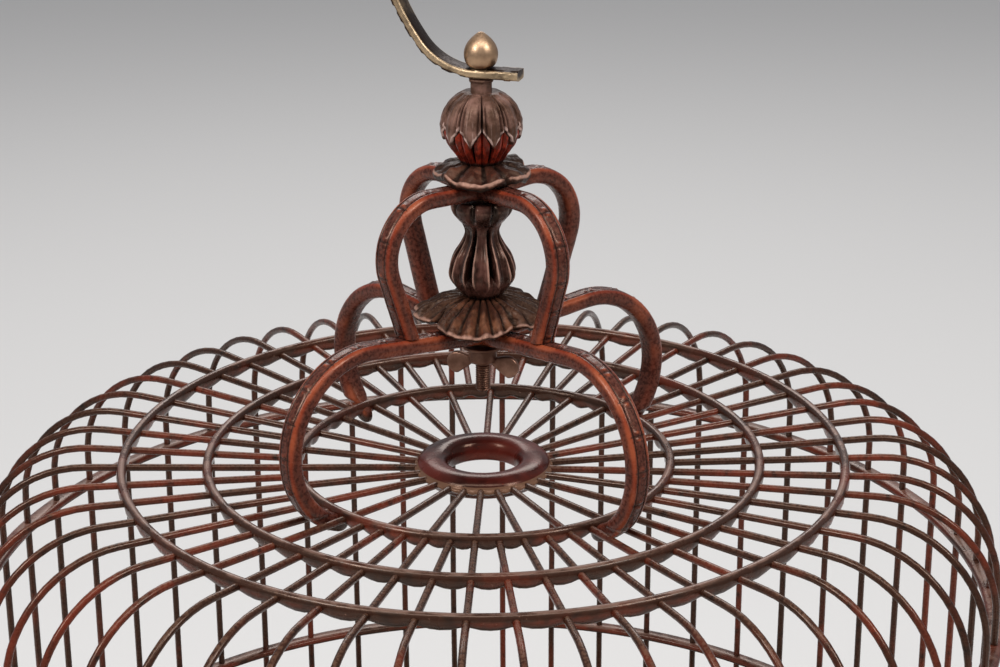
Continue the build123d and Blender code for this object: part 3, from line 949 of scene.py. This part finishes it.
def hub():
    """The fat ring at the middle of the roof: rounded top, flared hole, and a flange over the bars."""
    bottom = roof_at(hub_radius) - hub_height / 2
    outside = (
        (0.0, 0.84), (0.16, 0.9), (0.3, 0.91), (0.4, 0.995), (0.5, 1.0), (0.58, 0.965), (0.66, 0.955),
        (0.82, 0.92), (0.95, 0.83), (1.0, 0.72), (0.96, 0.62), (0.82, 0.54),
    )
    hole = ((0.6, 1.04), (0.3, 1.0), (0.06, 1.04), (0.0, 1.12))
    profile = [(bottom + rise * hub_height, share * hub_radius) for rise, share in outside]
    profile += [(bottom + rise * hub_height, share * hub_hole_radius) for rise, share in hole]
    piece = turned_ring(profile, bar_count * 2, 1)

    def notch(point):
        rise = (point.z - bottom) / hub_height
        if 0.28 < rise < 0.56 and from_axis(point) > 0.93 * hub_radius:
            point.z += 0.05 * hub_height * abs(math.sin(math.pi * bar_turn(point) / 2 - math.pi / 4))
        return point

    reshape(piece, notch)
    tone(piece, "edge", lambda point: 1.0 if from_axis(point) > 0.945 * hub_radius else 0.0)
    finished(piece, "hub_ring", "turned", hub_lacquer())


# Crown arms


def arm_section(piece):
    """Carve a round stick: two rounded borders beside a sunk panel with beads, and a smooth inside."""
    half_width = arm_width / 2
    half_depth = arm_thickness / 2

    def carve(point):
        across = squared(point.y / half_depth, 0.74)
        up = squared(point.z / half_depth, 0.8)
        to_joint = abs((point.x + joint_spacing / 3) % joint_spacing - joint_spacing / 2)
        swell = bump(to_joint, 0, joint_swell_length)
        aside = abs(across)
        if up > 0:
            panel = 1.0 - ramp(aside, 0.36, 0.5)
            groove = bump(aside, 0.45, 0.07)
            line = bump(aside, 0.165, 0.06) * (1 - swell)
            beads = bump(to_joint, bead_offset, bead_length) * bump(across, 0, 0.24)
            seam = bump(to_joint, 0, joint_seam_length) * ramp(0.85 - aside, 0, 0.2)
            up += 0.02 * swell + 0.12 * beads - 0.06 * panel - 0.1 * groove - 0.035 * line - 0.03 * seam
            # Painted shade in the border grooves and panel lines; the joint seams are dark joints.
            deep = max(groove, 0.55 * line, 0.75 * seam)
            rubbed = max(bump(aside, 0.76, 0.22), 0.8 * beads)
        else:
            up *= 1 + 0.02 * swell
            deep = 0.0
            rubbed = 0.3 + 0.3 * bump(aside, 0.8, 0.25)
        return Vector((point.x, across * half_width, up * half_depth)), rubbed, deep

    return carved(piece, ("rubbed", "hollow"), carve)


def arm_stick(points, tip=0.0):
    """A carved stick as long as its line, bent along it, with a rounded tip where one is asked for."""
    length = length_of(points)
    piece = arm_section(straight_tube(arm_sides, arm_thickness / 2, length, arm_cut))
    if tip:

        def rounded(point):
            part = min(1.0, max(0.0, (length - point.x) / tip))
            narrow = math.sqrt(1.0 - 0.9 * (1.0 - part) ** 2)
            return Vector((point.x, point.y * narrow, point.z * narrow))

        reshape(piece, rounded)
    return bent_along(piece, points)


arm_gaps = [round(share * bar_count) for share in arm_turn_shares]
lower_hub = (0.0, crown_base + lower_hub_height)
upper_hub = (0.0, crown_base + upper_hub_height)
claw_tip = (inner_hoop_radius - claw_tip_inward, crown_base - claw_tip_drop)


def lower_bow_centre(outward):
    """Centre of a lower bow, which comes round to the claw's tip under the inner hoop."""
    across = inner_hoop_radius + outward - lower_bow_radius
    return (across, claw_tip[1] + math.sqrt(lower_bow_radius**2 - (claw_tip[0] - across) ** 2))


def upper_side(hub_point, heading, radius):
    """Height of the joints on an arm's straight run."""
    middle = hub_point[1] + radius * math.tan(math.radians(heading))
    return middle + (arm_thickness / 2 + arm_joint_rise) / math.cos(math.radians(heading))


def mitred(piece, spot):
    """Cut an arm against its neighbours at the hub, and turn it to its gap between two bars."""
    for neighbour, side in ((spot - 1, -1), ((spot + 1) % len(arm_gaps), 1)):
        gap = side * (arm_gaps[neighbour] - arm_gaps[spot]) % bar_count * bar_pitch / 2
        turn = math.radians(gap)
        halved(piece, (0, 0, 0), (-math.sin(turn), side * math.cos(turn), 0))
    return swung(piece, front_azimuth + arm_gaps[spot] * bar_pitch)


def lower_arm(spot, name, outward):
    """Out from the hub, round the bow, and hooked under the inner hoop as a claw."""
    centre = lower_bow_centre(outward)
    start = touching(lower_hub, centre, lower_bow_radius) + 90.0
    end = math.degrees(math.atan2(claw_tip[1] - centre[1], claw_tip[0] - centre[0]))
    run = straight(lower_hub, polar(centre, lower_bow_radius, start), 10)
    run += arc(centre, lower_bow_radius, start, end - start, 48)
    piece = arm_stick(upright(run), claw_width)
    shoulder = roof_at(centre[0] + lower_bow_radius) + bar_radius
    hollow = piece.data.attributes["hollow"].data
    for index, vertex in enumerate(piece.data.vertices):
        if vertex.co.x > centre[0] - arm_width:
            drop = shoulder - vertex.co.z
            vertex.co.y *= 1 + ramp(drop, -arm_width / 3, 0) * (claw_width / arm_width - 1)
            # Painted shade: the claw darkens as it drops under the inner hoop.
            hollow[index].value += 0.8 * ramp(drop, 0.0, claw_width)
    piece.data.update()
    finished(mitred(piece, spot), name, "carved", arm_wood)


def upper_arm(spot, name, outward, reach, foot_radius):
    """Out from the hub, over the bow, and down onto the lower arm's back."""
    lower_heading = touching(lower_hub, lower_bow_centre(outward), lower_bow_radius)
    centre = (reach - upper_bow_radius, crown_base + upper_bow_top - upper_bow_radius)
    start = touching(upper_hub, centre, upper_bow_radius) + 90.0
    foot = (foot_radius, upper_side(lower_hub, lower_heading, foot_radius) - arm_thickness)
    leave = 90.0 - touching((-foot[0], foot[1]), (-centre[0], centre[1]), upper_bow_radius)
    run = straight(upper_hub, polar(centre, upper_bow_radius, start), 6)
    run += arc(centre, upper_bow_radius, start, leave - start, 32)
    run += straight(run[-1], foot, 12)[1:]
    piece = arm_stick(upright(run))
    turn = math.radians(lower_heading)
    ground = (0, 0, upper_side(lower_hub, lower_heading, 0.0) - arm_joint_rise)
    halved(piece, ground, (math.sin(turn), 0, -math.cos(turn)))
    finished(mitred(piece, spot), name, "carved", arm_wood)


def crown_arms():
    """Four lower arms with an upper arm on each; those at the back bow out less."""
    front = (front_lower_bow_outward, front_upper_bow_reach, front_upper_foot_radius)
    back = (back_lower_bow_outward, back_upper_bow_reach, back_upper_foot_radius)
    arms = (("front_right", front), ("back_right", back), ("back_left", back), ("front_left", front))
    for spot, (side, (outward, reach, foot_radius)) in enumerate(arms):
        lower_arm(spot, f"lower_arm_{side}", outward)
        upper_arm(spot, f"upper_arm_{side}", outward, reach, foot_radius)


# Carved pieces on the tie rod


def carved_turning(bottom, top, outline, radius, sides, cuts, carve):
    """A turned blank that a rule then carves, which gives its new size, how rubbed and how deep it is."""
    height = top - bottom
    shares = [step / cuts for step in range(cuts + 1)]
    levels = [(bottom + share * height, radius * blend(outline, share)) for share in shares]

    def cut(point):
        size, rim, deep = carve((point.z - bottom) / height, angle_of(point))
        return Vector((point.x * size, point.y * size, point.z)), rim, deep

    return carved(turned_solid(levels, sides), ("rim", "hollow"), cut)


def in_petal(angle, count, offset=0.0):
    """Where an angle lies across its petal: 0 in its middle and 0.5 at both its edges."""
    turn = angle / math.tau * count + offset
    return abs((turn + 0.5) % 1.0 - 0.5)


def baluster():
    """A vase of eight narrow petals over small sepals, flared into a lobed cup at its top."""
    low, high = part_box("baluster")
    outline = (
        (0.0, 0.6), (0.06, 0.75), (0.14, 0.91), (0.23, 0.99), (0.31, 0.96), (0.42, 0.85), (0.52, 0.67),
        (0.61, 0.54), (0.68, 0.51), (0.75, 0.58), (0.8, 0.7), (0.86, 0.84), (0.92, 0.9), (0.97, 0.88),
        (1.0, 0.8),
    )
    opening = ((0.0, 0.3), (0.1, 0.85), (0.3, 1.0), (0.5, 0.92), (0.66, 0.6), (0.76, 0.15), (1.0, 0.0))

    def carve(share, angle):
        aside = in_petal(angle, baluster_petals, 0.09 * math.sin(4 * share))
        # In the cup, painted shade fills the notches round its lobes, and a pale rim runs round the top.
        if share > 0.76:
            lobe = bump(aside, 0.5, 0.13) * ramp(share, 0.76, 0.86)
            return 1 - 0.15 * lobe, 0.45 * bump(share, 0.93, 0.03), 0.7 * lobe + 0.2
        from_edge = 0.5 * (1 - share / sepal_top) - (0.5 - aside)
        sepal = ramp(from_edge, -0.07, 0.05)
        open_part = blend(opening, share)
        gap = ramp(aside, 0.33, 0.45)
        edge = bump(aside, 0.3, 0.05)
        trough = bump(aside, 0.0, 0.17)
        petal = 1 - open_part * (0.5 * gap + 0.11 * trough - 0.01 * edge)
        # Painted highlight: pink bands on each petal's face and near its edges.
        face = open_part * (0.9 * edge + 0.4 * bump(aside, 0.16, 0.1))
        rim = face + (0.7 * bump(from_edge, 0.0, 0.03) - face) * sepal
        # Painted shade in the gaps between petals and between sepals, and at the foot.
        deep = max(gap * min(1.0, 1.4 * open_part) * (1 - sepal), 0.9 * bump(share, 0.0, 0.05))
        return petal + (0.96 - petal) * sepal, rim, max(deep, 0.5 * sepal * bump(aside, 0.5, 0.05))

    sides = baluster_petals * baluster_petal_sides
    piece = carved_turning(low.z, high.z, outline, baluster_radius, sides, baluster_cuts, carve)
    finished(piece, "baluster", "petals", baluster_wood(), angle=60.0)


def bud_edge(aside):
    """How high the hanging petals' edge lies: low at their tips, high in the notches between them."""
    return 0.3 + 0.27 * (2 * aside) ** 0.85


def bud():
    """A closed bud: grey petals hang over red ones, under a six-sided neck."""
    low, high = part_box("bud")
    body_top = crown_base + bud_top
    outline = (
        (0.0, 0.56), (0.1, 0.67), (0.18, 0.78), (0.27, 0.89), (0.37, 0.96), (0.47, 0.99), (0.58, 0.99),
        (0.7, 0.94), (0.82, 0.84), (0.92, 0.69), (1.0, 0.46),
    )

    def carve(share, angle):
        aside = in_petal(angle, bud_petals)
        over = share - bud_edge(aside)
        rough = 0.012 * noise.noise(Vector((9 * math.cos(angle), 9 * math.sin(angle), 14 * share)))
        fade = 1.0 - 0.4 * ramp(share, 0.8, 1.0)
        crease = bump(aside, 0.5, 0.045) * fade
        ridge = bump(aside, 0.0, 0.07) * fade
        side_fold = bump(aside, 0.26 + 0.1 * share, 0.05) * fade
        hanging = 0.985 + rough - 0.22 * crease + 0.02 * ridge - 0.09 * side_fold
        gap = bump(aside, 0.0, 0.08) * ramp(share, 0.0, 0.12)
        seam = bump(aside, 0.5, 0.035)
        below = 0.89 - 0.24 * gap - 0.07 * seam + 0.04 * bump(aside, 0.3, 0.08) + rough
        lifted = ramp(over, -0.008, 0.02)
        rim = bump(over, 0.03, 0.03) * (1 - 0.5 * ridge) + 0.3 * bump(aside, 0.44, 0.03) * fade * lifted
        rim += 0.35 * (1 - lifted) * bump(aside, 0.36, 0.05) + 0.5 * bump(aside, 0.13, 0.05) * fade * lifted
        # Painted shade in the hanging petals' creases and side folds, in the gaps and seams between the red
        # ones, under the hanging edge and at the foot.
        deep_above = 0.85 * crease + 0.45 * side_fold
        deep_below = max(gap, 0.6 * seam, 0.9 * bump(over, 0.0, 0.03), 0.9 * bump(share, 0.0, 0.06))
        return below + (hanging - below) * lifted, rim, deep_below + (deep_above - deep_below) * lifted

    def under(point):
        over = (point.z - low.z) / (body_top - low.z) - bud_edge(in_petal(angle_of(point), bud_petals))
        return 1.0 - ramp(over, -0.01, 0.012)

    sides = bud_petals * bud_petal_sides
    body = carved_turning(low.z, body_top, outline, bud_radius, sides, bud_cuts, carve)
    tone(body, "under", under)
    neck = bud_neck_radius
    neck_levels = [
        (body_top - neck / 2, neck * 1.3), (body_top, neck), (high.z - neck / 4, neck),
        (high.z - neck / 6, neck * 1.16), (high.z, neck * 1.12),
    ]
    piece = joined([body, bevelled(turned_solid(neck_levels, bud_neck_sides), edge_bevel)])
    finished(piece, "bud", "petals", bud_wood(), angle=50.0)


def leaf(node, material, rise, radius, droop, edge, boss_radius, lobe_share, pleats, pleat_share):
    """A drooping leaf with a pleated face and a scalloped rim, on the boss that carries it."""
    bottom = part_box(node)[0].z
    top = crown_base + rise
    rim_height = top - droop
    profile = [(top, leaf_throat_radius)]
    for step in range(1, leaf_rings + 1):
        share = step / leaf_rings
        profile.append((top - droop * share**1.7, leaf_throat_radius + (radius - leaf_throat_radius) * share))
    for down, share in ((0.2, 1.015), (0.5, 1.02), (0.8, 1.01), (1.0, 0.98)):
        profile.append((rim_height - down * edge, radius * share))
    for share in (0.85, 0.7, 0.55):
        profile.append((rim_height - edge + (top - rim_height) * 0.5 * (1 - share), radius * share))
    profile += [(rim_height - edge / 2, boss_radius), (bottom, boss_radius)]
    profile += [(bottom, rod_radius * 1.02), (top, rod_radius * 1.02)]
    lobe_turn = math.radians(leaf_lobe_turn)

    def pleat(point):
        flat = from_axis(point)
        # Painted shade on the boss under the leaf and on the throat about the rod.
        if flat < boss_radius * 1.05:
            return point, 0.0, 0.7
        out = (flat - boss_radius) / (radius - boss_radius)
        angle = angle_of(point)
        lobe = 2 * math.sqrt(abs(math.cos(2 * (angle + lobe_turn)))) - 1
        to_front = (angle + lobe_turn + math.pi / 2 + math.pi) % math.tau - math.pi
        # Painted shade: the side lobes darken, as if the front lobe alone caught the light.
        side = 1.0 - bump(to_front, 0.0, 0.75)
        fold = math.cos(pleats * angle + 0.5 * math.sin(5 * angle))
        vein = bump(fold, -1.0, 0.45)
        small = noise.noise(Vector((6 * math.cos(angle), 6 * math.sin(angle), 3 * out)))
        grow = 1 + out * (lobe_share * (lobe - 0.6) + pleat_share * fold + 0.03 * small)
        lift = leaf_pleat_lift * pleat_share * out * (fold + 1.3 * small) * min(1.0, 4 * (1 - out) + 0.5)
        lift -= leaf_vein_depth * vein * (1 - out) + leaf_lobe_dip * out**2 * max(0.0, lobe)
        between_lobes = bump(lobe, -1.0, 0.6)
        under = ramp(rim_height - point.z, 0.3 * edge, 0.7 * edge)
        rim = ramp(out, 0.9, 1.0) * (1 - between_lobes) * (1 - under)
        # Painted shade in the veins, between the lobes, on the side lobes and under the rim.
        deep = max(vein * (1 - 0.25 * out), 0.8 * between_lobes, 0.7 * side, 0.9 * under)
        return Vector((point.x * grow, point.y * grow, point.z + lift)), rim, deep

    piece = carved(turned_ring(profile, leaf_sides), ("rim", "hollow"), pleat)
    finished(piece, node, "pleated", material, angle=50.0)


def lower_leaf():
    """The lotus leaf under the baluster."""
    leaf("lower_leaf", leaf_wood("lower_leaf_wood", lower_leaf_brown, gold_wear), **lower_leaf_sizes)


def upper_leaf():
    """A smaller, flatter leaf that caps the upper arms."""
    leaf("upper_leaf", leaf_wood("upper_leaf_wood", upper_leaf_brown, upper_leaf_wear), **upper_leaf_sizes)


# Brass


def tie_rod():
    """A plain rod whose lower end is threaded."""
    low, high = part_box("tie_rod")
    levels = [(low.z, rod_radius * 0.7), (low.z + thread_pitch / 2, rod_radius * 0.86)]
    for turn in range(1, thread_turns):
        levels.append((low.z + turn * thread_pitch, rod_radius * 0.99))
        levels.append((low.z + (turn + 0.5) * thread_pitch, rod_radius * 0.84))
    levels += [(low.z + thread_turns * thread_pitch, rod_radius), (high.z, rod_radius)]
    piece = turned_solid(levels, rod_sides)
    tone(piece, "hollow", lambda point: 1.0 if from_axis(point) < 0.9 * rod_radius else 0.0)
    finished(piece, "tie_rod", "threaded", rod_metal, angle=50.0)


def washer():
    low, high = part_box("washer")
    inside = rod_radius * 1.04
    edge = (high.z - low.z) / 5
    profile = [
        (low.z, inside), (low.z, high.x - edge), (low.z + edge, high.x), (high.z - edge, high.x),
        (high.z, high.x - edge), (high.z, inside),
    ]
    piece = turned_ring(profile, washer_sides)
    tone(piece, "hollow", lambda point: 0.4)
    finished(piece, "washer", "turned", rod_metal)


def paddle(side, radius, height):
    """A round wing that tapers up towards the nut's hub."""
    middle = Vector((side * (wing_reach - radius * 0.9), 0, height))
    deselect()
    bpy.ops.mesh.primitive_cylinder_add(
        vertices=wing_sides, radius=radius, depth=wing_thickness,
        location=middle, rotation=(math.pi / 2, 0, 0),
    )

    def stretched(point):
        across = point.x - middle.x
        down = point.z - middle.z
        inward = max(0.0, -side * across / radius)
        point.x = middle.x + across * (1 + 0.5 * inward)
        point.z = middle.z + down * (1 - 0.35 * inward) + 0.35 * radius * inward
        return point

    return bevelled(reshape(place(bpy.context.object), stretched), wing_thickness / 3, 3)


def wing_nut():
    """A turned hub with two rounded paddles that slope down and out."""
    low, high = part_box("wing_nut")
    hub_bottom = high.z - wing_hub_height
    step = wing_hub_height / 8
    levels = [
        (hub_bottom - step, wing_hub_radius * 0.66), (hub_bottom, wing_hub_radius * 0.82),
        (hub_bottom + step, wing_hub_radius * 0.98), (high.z - step, wing_hub_radius * 0.86),
        (high.z, wing_hub_radius * 0.74),
    ]
    pieces = [bevelled(turned_solid(levels, wing_hub_sides), edge_bevel)]
    paddle_radius = (hub_bottom - low.z + wing_hub_height / 2) / 2
    pieces += [paddle(side, paddle_radius, low.z + paddle_radius) for side in (-1, 1)]
    piece = swung(joined(pieces), hook_azimuth)
    tone(piece, "hollow", lambda point: 0.3)
    finished(piece, "wing_nut", "cast", rod_metal)


def acorn_nut():
    """A drop on a narrow foot, with a small nipple at its tip."""
    low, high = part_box("acorn_nut")
    outline = (
        (0.0, 0.66), (0.04, 0.78), (0.12, 0.9), (0.26, 0.98), (0.4, 1.0), (0.52, 0.95), (0.64, 0.85),
        (0.76, 0.68), (0.86, 0.48), (0.93, 0.3), (0.97, 0.2), (0.99, 0.13), (1.0, 0.05),
    )
    height = high.z - low.z
    levels = [(low.z + share * height, high.x * size) for share, size in outline]
    piece = turned_solid(levels, acorn_nut_sides, 1)
    tone(piece, "hollow", lambda point: max(0.0, 1 - (point.z - low.z) / (0.12 * height)))
    metal = brass("bright_brass", nut_tarnish, nut_bare, 0.3, 1800.0, 0.08)
    finished(piece, "acorn_nut", "turned", metal, angle=60.0)


def onward(line, heading, radius, turn, steps):
    """Draw on from a line's end round an arc, and give the heading that it ends with."""
    side = math.copysign(90.0, turn)
    centre = polar(line[-1], radius, heading + side)
    line += arc(centre, radius, heading - side, turn, steps)
    return heading + turn


def hook_line():
    """The hook's middle line: a tail, the pad, a heel, a long rise, the bow and its curled tip."""
    middle = hook_bottom + hook_thickness / 2
    line = straight((-hook_tail, middle), (hook_straight, middle), 6)
    heading = onward(line, 0.0, hook_heel_radius, hook_heel_turn, 16)
    heading = onward(line, heading, hook_rise_radius, hook_rise_turn, 12)
    bow_radius = line[-1][0] / math.sin(math.radians(heading))
    heading = onward(line, heading, bow_radius, hook_bow_turn, 56)
    onward(line, heading, hook_tip_radius, -hook_tip_turn, 16)
    return upright(line)


def hook_strip():
    """A flat strip along the hook's line: smooth inside, cast with notches outside, hammered at its tail."""
    line = hook_line()
    length = length_of(line)
    half_width = hook_width / 2

    def cast(point):
        across = squared(point.y / half_width, 0.55)
        up = squared(point.z / half_width, 0.55)
        rough = noise.noise(Vector((point.x * hook_pits_per_metre, across * 2, up * 2)))
        deep = 0.0
        if up < 0 and point.x > hook_tail + hook_pad_radius:
            notch = 0.5 + 0.5 * math.sin(math.tau * point.x / hook_notch_spacing)
            up *= 0.72 + 0.28 * ramp(notch + 0.6 * rough, 0.3, 0.55) + 0.06 * rough
            across *= 0.97 + 0.05 * rough
            deep = 0.75 * ramp(-up, 0.2, 0.6)
        if up > 0 and abs(across) < 0.8:
            up -= 0.08
            deep = 1.0 - 0.65 * ramp(point.x, hook_tail + hook_dark_start, hook_tail + hook_dark_end)
        narrow = 1.0
        from_end = length - point.x
        if from_end < hook_width:
            narrow = 0.55 + 0.45 * math.sqrt(max(0.0, from_end / hook_width))
        if point.x < hook_tail - hook_pad_radius / 2:
            blow = noise.cell(Vector((point.x * hammer_blows_per_metre, across * 1.6, up * 1.6)))
            narrow = 0.93 + 0.05 * blow
            up *= 1.06 + 0.1 * blow
        return Vector((point.x, across * half_width * narrow, up * hook_thickness / 2)), deep

    blank = straight_tube(hook_sides, half_width, length, length / hook_cuts)
    return bent_along(carved(blank, ("hollow",), cast), line)


def hook():
    """The strip with the round pad that it turns on."""
    edge = hook_thickness / 5
    top = hook_bottom + hook_thickness
    levels = [
        (hook_bottom, hook_pad_radius - edge), (hook_bottom + edge, hook_pad_radius),
        (top - edge, hook_pad_radius), (top, hook_pad_radius - edge),
    ]
    pad = tone(turned_solid(levels, hook_pad_sides), "hollow", lambda point: 0.2)
    piece = swung(joined([hook_strip(), pad]), hook_azimuth)
    metal = brass("aged_brass", hook_tarnish, hook_bare, 0.34, 1100.0)
    finished(piece, "hook", "cast", metal, body="hook", angle=50.0)


# Base, floor and perch


def base():
    """The heavy bottom ring: a bead at its top and foot, a hollow between them, and the floor's ledge."""
    low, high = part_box("base_ring")
    inside = base_inner_radius
    ledge = inside - ledge_width
    cut_in = (
        (0.0, 0.003), (0.06, 0.0006), (0.2, 0.0), (0.3, 0.0008), (0.36, 0.0026), (0.5, 0.0038),
        (0.66, 0.0034), (0.76, 0.0022), (0.8, 0.0008), (0.9, 0.0002), (0.97, 0.0012), (1.0, 0.003),
    )
    profile = [(share, base_outer_radius - depth) for share, depth in cut_in]
    profile += [
        (1.0, inside + 0.0022), (0.97, inside + 0.0004), (0.9, inside), (0.4, inside),
        (0.375, inside - 0.0006), (0.375, ledge + 0.0006), (0.35, ledge), (0.03, ledge),
        (0.0, ledge + 0.0006),
    ]
    profile = [(low.z + share * (high.z - low.z), radius) for share, radius in profile]
    piece = turned_ring(profile, bar_count * 4, 1)
    rubbed_from = base_outer_radius - base_rubbed_depth
    tone(piece, "edge", lambda point: 1.0 if from_axis(point) > rubbed_from else 0.0)
    finished(piece, "base_ring", "moulded", lacquer_on_hoops)


def eased(node, body="root"):
    """A copy of a plain CAD node with its corners merged and its edges eased."""
    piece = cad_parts[node].copy()
    piece.data = piece.data.copy()
    piece.parent = None
    for key in list(piece.keys()):
        del piece[key]
    edit_all(linked(piece))
    bpy.ops.mesh.remove_doubles(threshold=0.000002)
    bpy.ops.mesh.tris_convert_to_quads()
    bpy.ops.mesh.dissolve_limited(angle_limit=math.radians(1.0))
    bevelled(leave_edit(), edge_bevel)
    tone(piece, "edge", lambda point: 0.4)
    finished(piece, node, "eased", lacquer_on_hoops, body)


def floor_slats():
    """Slats of split bamboo, each as long as the ring is wide there."""
    low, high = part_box("floor_slats")
    reach = base_inner_radius - slat_end_gap
    spacing = 2 * (base_inner_radius - slat_margin) / (slat_count - 1)
    slats = []
    for index in range(slat_count):
        side = (index - (slat_count - 1) / 2) * spacing
        half = math.sqrt(reach**2 - (abs(side) + slat_width / 2) ** 2)
        slat = block((-half, side - slat_width / 2, low.z), (half, side + slat_width / 2, high.z))
        slats.append(bevelled(slat, slat_bevel, 3))
    finished(joined(slats), "floor_slats", "split", bamboo)


def floor_bearers():
    """Two bearers under the slats."""
    low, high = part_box("floor_bearers")
    bearers = [
        bevelled(block((edge, low.y, low.z), (edge + side * bearer_width, high.y, high.z)), slat_bevel)
        for edge, side in ((low.x, 1), (high.x, -1))
    ]
    finished(joined(bearers), "floor_bearers", "split", bamboo)


def perch():
    """A round stick, slightly uneven, notched over a bar at each end."""
    low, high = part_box("perch")
    radius = (high.z - low.z) / 2
    half = wall_radius + bar_radius + perch_end_lap
    stick = straight_tube(perch_sides, radius * 0.99, 2 * half, perch_cut)
    stick.data.transform(Matrix.Translation((-half, 0, 0)))
    bevelled(stick, radius / 8)
    for vertex in stick.data.vertices:
        shift = noise.noise(vertex.co / perch_knot_spacing)
        vertex.co += vertex.normal * shift * perch_unevenness
    stick.data.update()
    half_notch = bar_radius + perch_notch_gap
    for side in (-1, 1):
        inner = side * (wall_radius - half_notch)
        outer = side * (half + radius)
        notch = block(
            (min(inner, outer), -half_notch, -2 * radius), (max(inner, outer), half_notch, 2 * radius)
        )
        modify(stick, "BOOLEAN", object=notch, operation="DIFFERENCE", solver="EXACT")
        bpy.data.objects.remove(notch)
    swung(stick, bar_pitch / 2)
    stick.data.transform(Matrix.Translation((0, 0, (low.z + high.z) / 2)))
    finished(stick, "perch", "turned", perch_wood())


# Door


def upright_rods(node, azimuths, radius, body="root"):
    """Straight round rods that stand outside the wall, each at its own azimuth."""
    low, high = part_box(node)
    levels = [
        (low.z, radius * 0.9), (low.z + radius / 4, radius), (high.z - radius / 4, radius),
        (high.z, radius * 0.9),
    ]
    rod = turned_solid(levels, door_rod_sides)
    rod.data.transform(Matrix.Translation((guide_radius, 0, 0)))
    piece = joined([swung_copy(rod, azimuth) for azimuth in azimuths])
    bpy.data.objects.remove(rod)
    tone(piece, "own_tone", lambda point: 0.5)
    finished(piece, node, "round", lacquer_on_bars, body)


def door():
    """The door's bars between two curved rails, and the rods and blocks that guide it."""
    half_gap = (door_gap_bars - 1) / 2
    azimuths = [front_azimuth + (index - half_gap) * bar_pitch for index in range(door_gap_bars)]
    upright_rods("door_bars", azimuths, bar_radius, "door")
    half_door = (door_gap_bars + 1) * bar_pitch / 2
    upright_rods("guide_rods", (front_azimuth - half_door, front_azimuth + half_door), guide_rod_radius)
    eased("door_top_rail", "door")
    eased("door_bottom_rail", "door")
    eased("guide_blocks")


# Everything, from the roof down

bars("long_bars", hub_radius - long_bar_end_depth, 0)
bars("short_bars", inner_hoop_radius, 1)
roof_hoop("outer_roof_hoop", outer_hoop_radius)
roof_hoop("middle_roof_hoop", middle_hoop_radius)
roof_hoop("inner_roof_hoop", inner_hoop_radius)
for wall_node in ("shoulder_hoop", "upper_wall_hoop", "lower_wall_hoop"):
    wall_hoop(wall_node)
hub()
crown_arms()
lower_leaf()
baluster()
upper_leaf()
bud()
tie_rod()
washer()
wing_nut()
acorn_nut()
hook()
base()
eased("feet")
floor_slats()
floor_bearers()
perch()
door()


# Stage, light and camera

ground_size = 14.0
sky_strength = 0.34

# Azimuth, elevation, distance, width, height and power of each lamp
softboxes = {
    "left_softbox": (215.0, 40.0, 1.7, 0.5, 0.5, 13.0),
    "right_softbox": (325.0, 44.0, 1.7, 0.5, 0.5, 11.0),
    "top_softbox": (270.0, 64.0, 1.7, 1.6, 0.4, 12.0),
    "back_softbox": (90.0, 36.0, 1.8, 1.4, 0.4, 9.0),
}

# The camera that took the photograph, as it stands to the cage
picture_width = 1000
picture_height = 667
sensor_width = 36.0
lens_pixels = 2355.9
camera_azimuth = 269.14
camera_elevation = 23.67
camera_distance = 0.7903
camera_roll = 0.38
aim_column = 483.53
aim_row = 454.25


def stage():
    """A wide pale floor under a pale sky."""
    deselect()
    bpy.ops.mesh.primitive_plane_add(size=ground_size)
    floor = bpy.context.object
    floor.name = "pale_floor"
    mat = Recipe("pale_floor")
    shade = mat.mixed(mat.grain(0.6, 2.0), floor_grey, floor_white)
    floor.data.materials.append(mat.surface(shade, 0.7, specular=0.3))
    world = bpy.data.worlds.new("studio")
    world.use_nodes = True
    background = world.node_tree.nodes["Background"]
    background.inputs["Color"].default_value = (*sky, 1.0)
    background.inputs["Strength"].default_value = sky_strength
    bpy.context.scene.world = world


def softbox(name, azimuth, elevation, distance, width, height, power):
    """A large soft lamp that looks at the crown."""
    lamp = bpy.data.lights.new(name, "AREA")
    lamp.shape = "RECTANGLE"
    lamp.size = width
    lamp.size_y = height
    lamp.energy = power
    away = direction(azimuth, elevation)
    holder = linked(bpy.data.objects.new(name, lamp))
    holder.visible_camera = False
    holder.location = Vector((0, 0, crown_base)) + away * distance
    holder.rotation_euler = away.to_track_quat("Z", "Y").to_euler()


def camera():
    """The camera stands off from the middle of the roof, which it sees below and left of its centre."""
    turn = math.radians(camera_azimuth)
    back = direction(camera_azimuth, camera_elevation)
    right = Vector((-math.sin(turn), math.cos(turn), 0))
    up = back.cross(right)
    across = (aim_column - picture_width / 2) / lens_pixels
    down = (picture_height / 2 - aim_row) / lens_pixels
    square = Matrix((right, up, back)).transposed()
    rolled = Matrix.Rotation(math.radians(camera_roll), 3, "Z")
    tilt = Vector((0, 0, -1)).rotation_difference(Vector((across, down, -1.0))).to_matrix()
    facing = square @ rolled.transposed() @ tilt.transposed()
    low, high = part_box("outer_roof_hoop")
    middle = Vector((0, 0, (low.z + high.z) / 2))
    lens = bpy.data.cameras.new("camera")
    lens.sensor_width = sensor_width
    lens.lens = lens_pixels * sensor_width / picture_width
    holder = linked(bpy.data.objects.new("camera", lens))
    holder.matrix_world = Matrix.LocRotScale(middle + back * camera_distance, facing, None)
    bpy.context.scene.camera = holder


stage()
for lamp_name, lamp_setting in softboxes.items():
    softbox(lamp_name, *lamp_setting)
camera()
bpy.context.scene.view_settings.view_transform = "Standard"
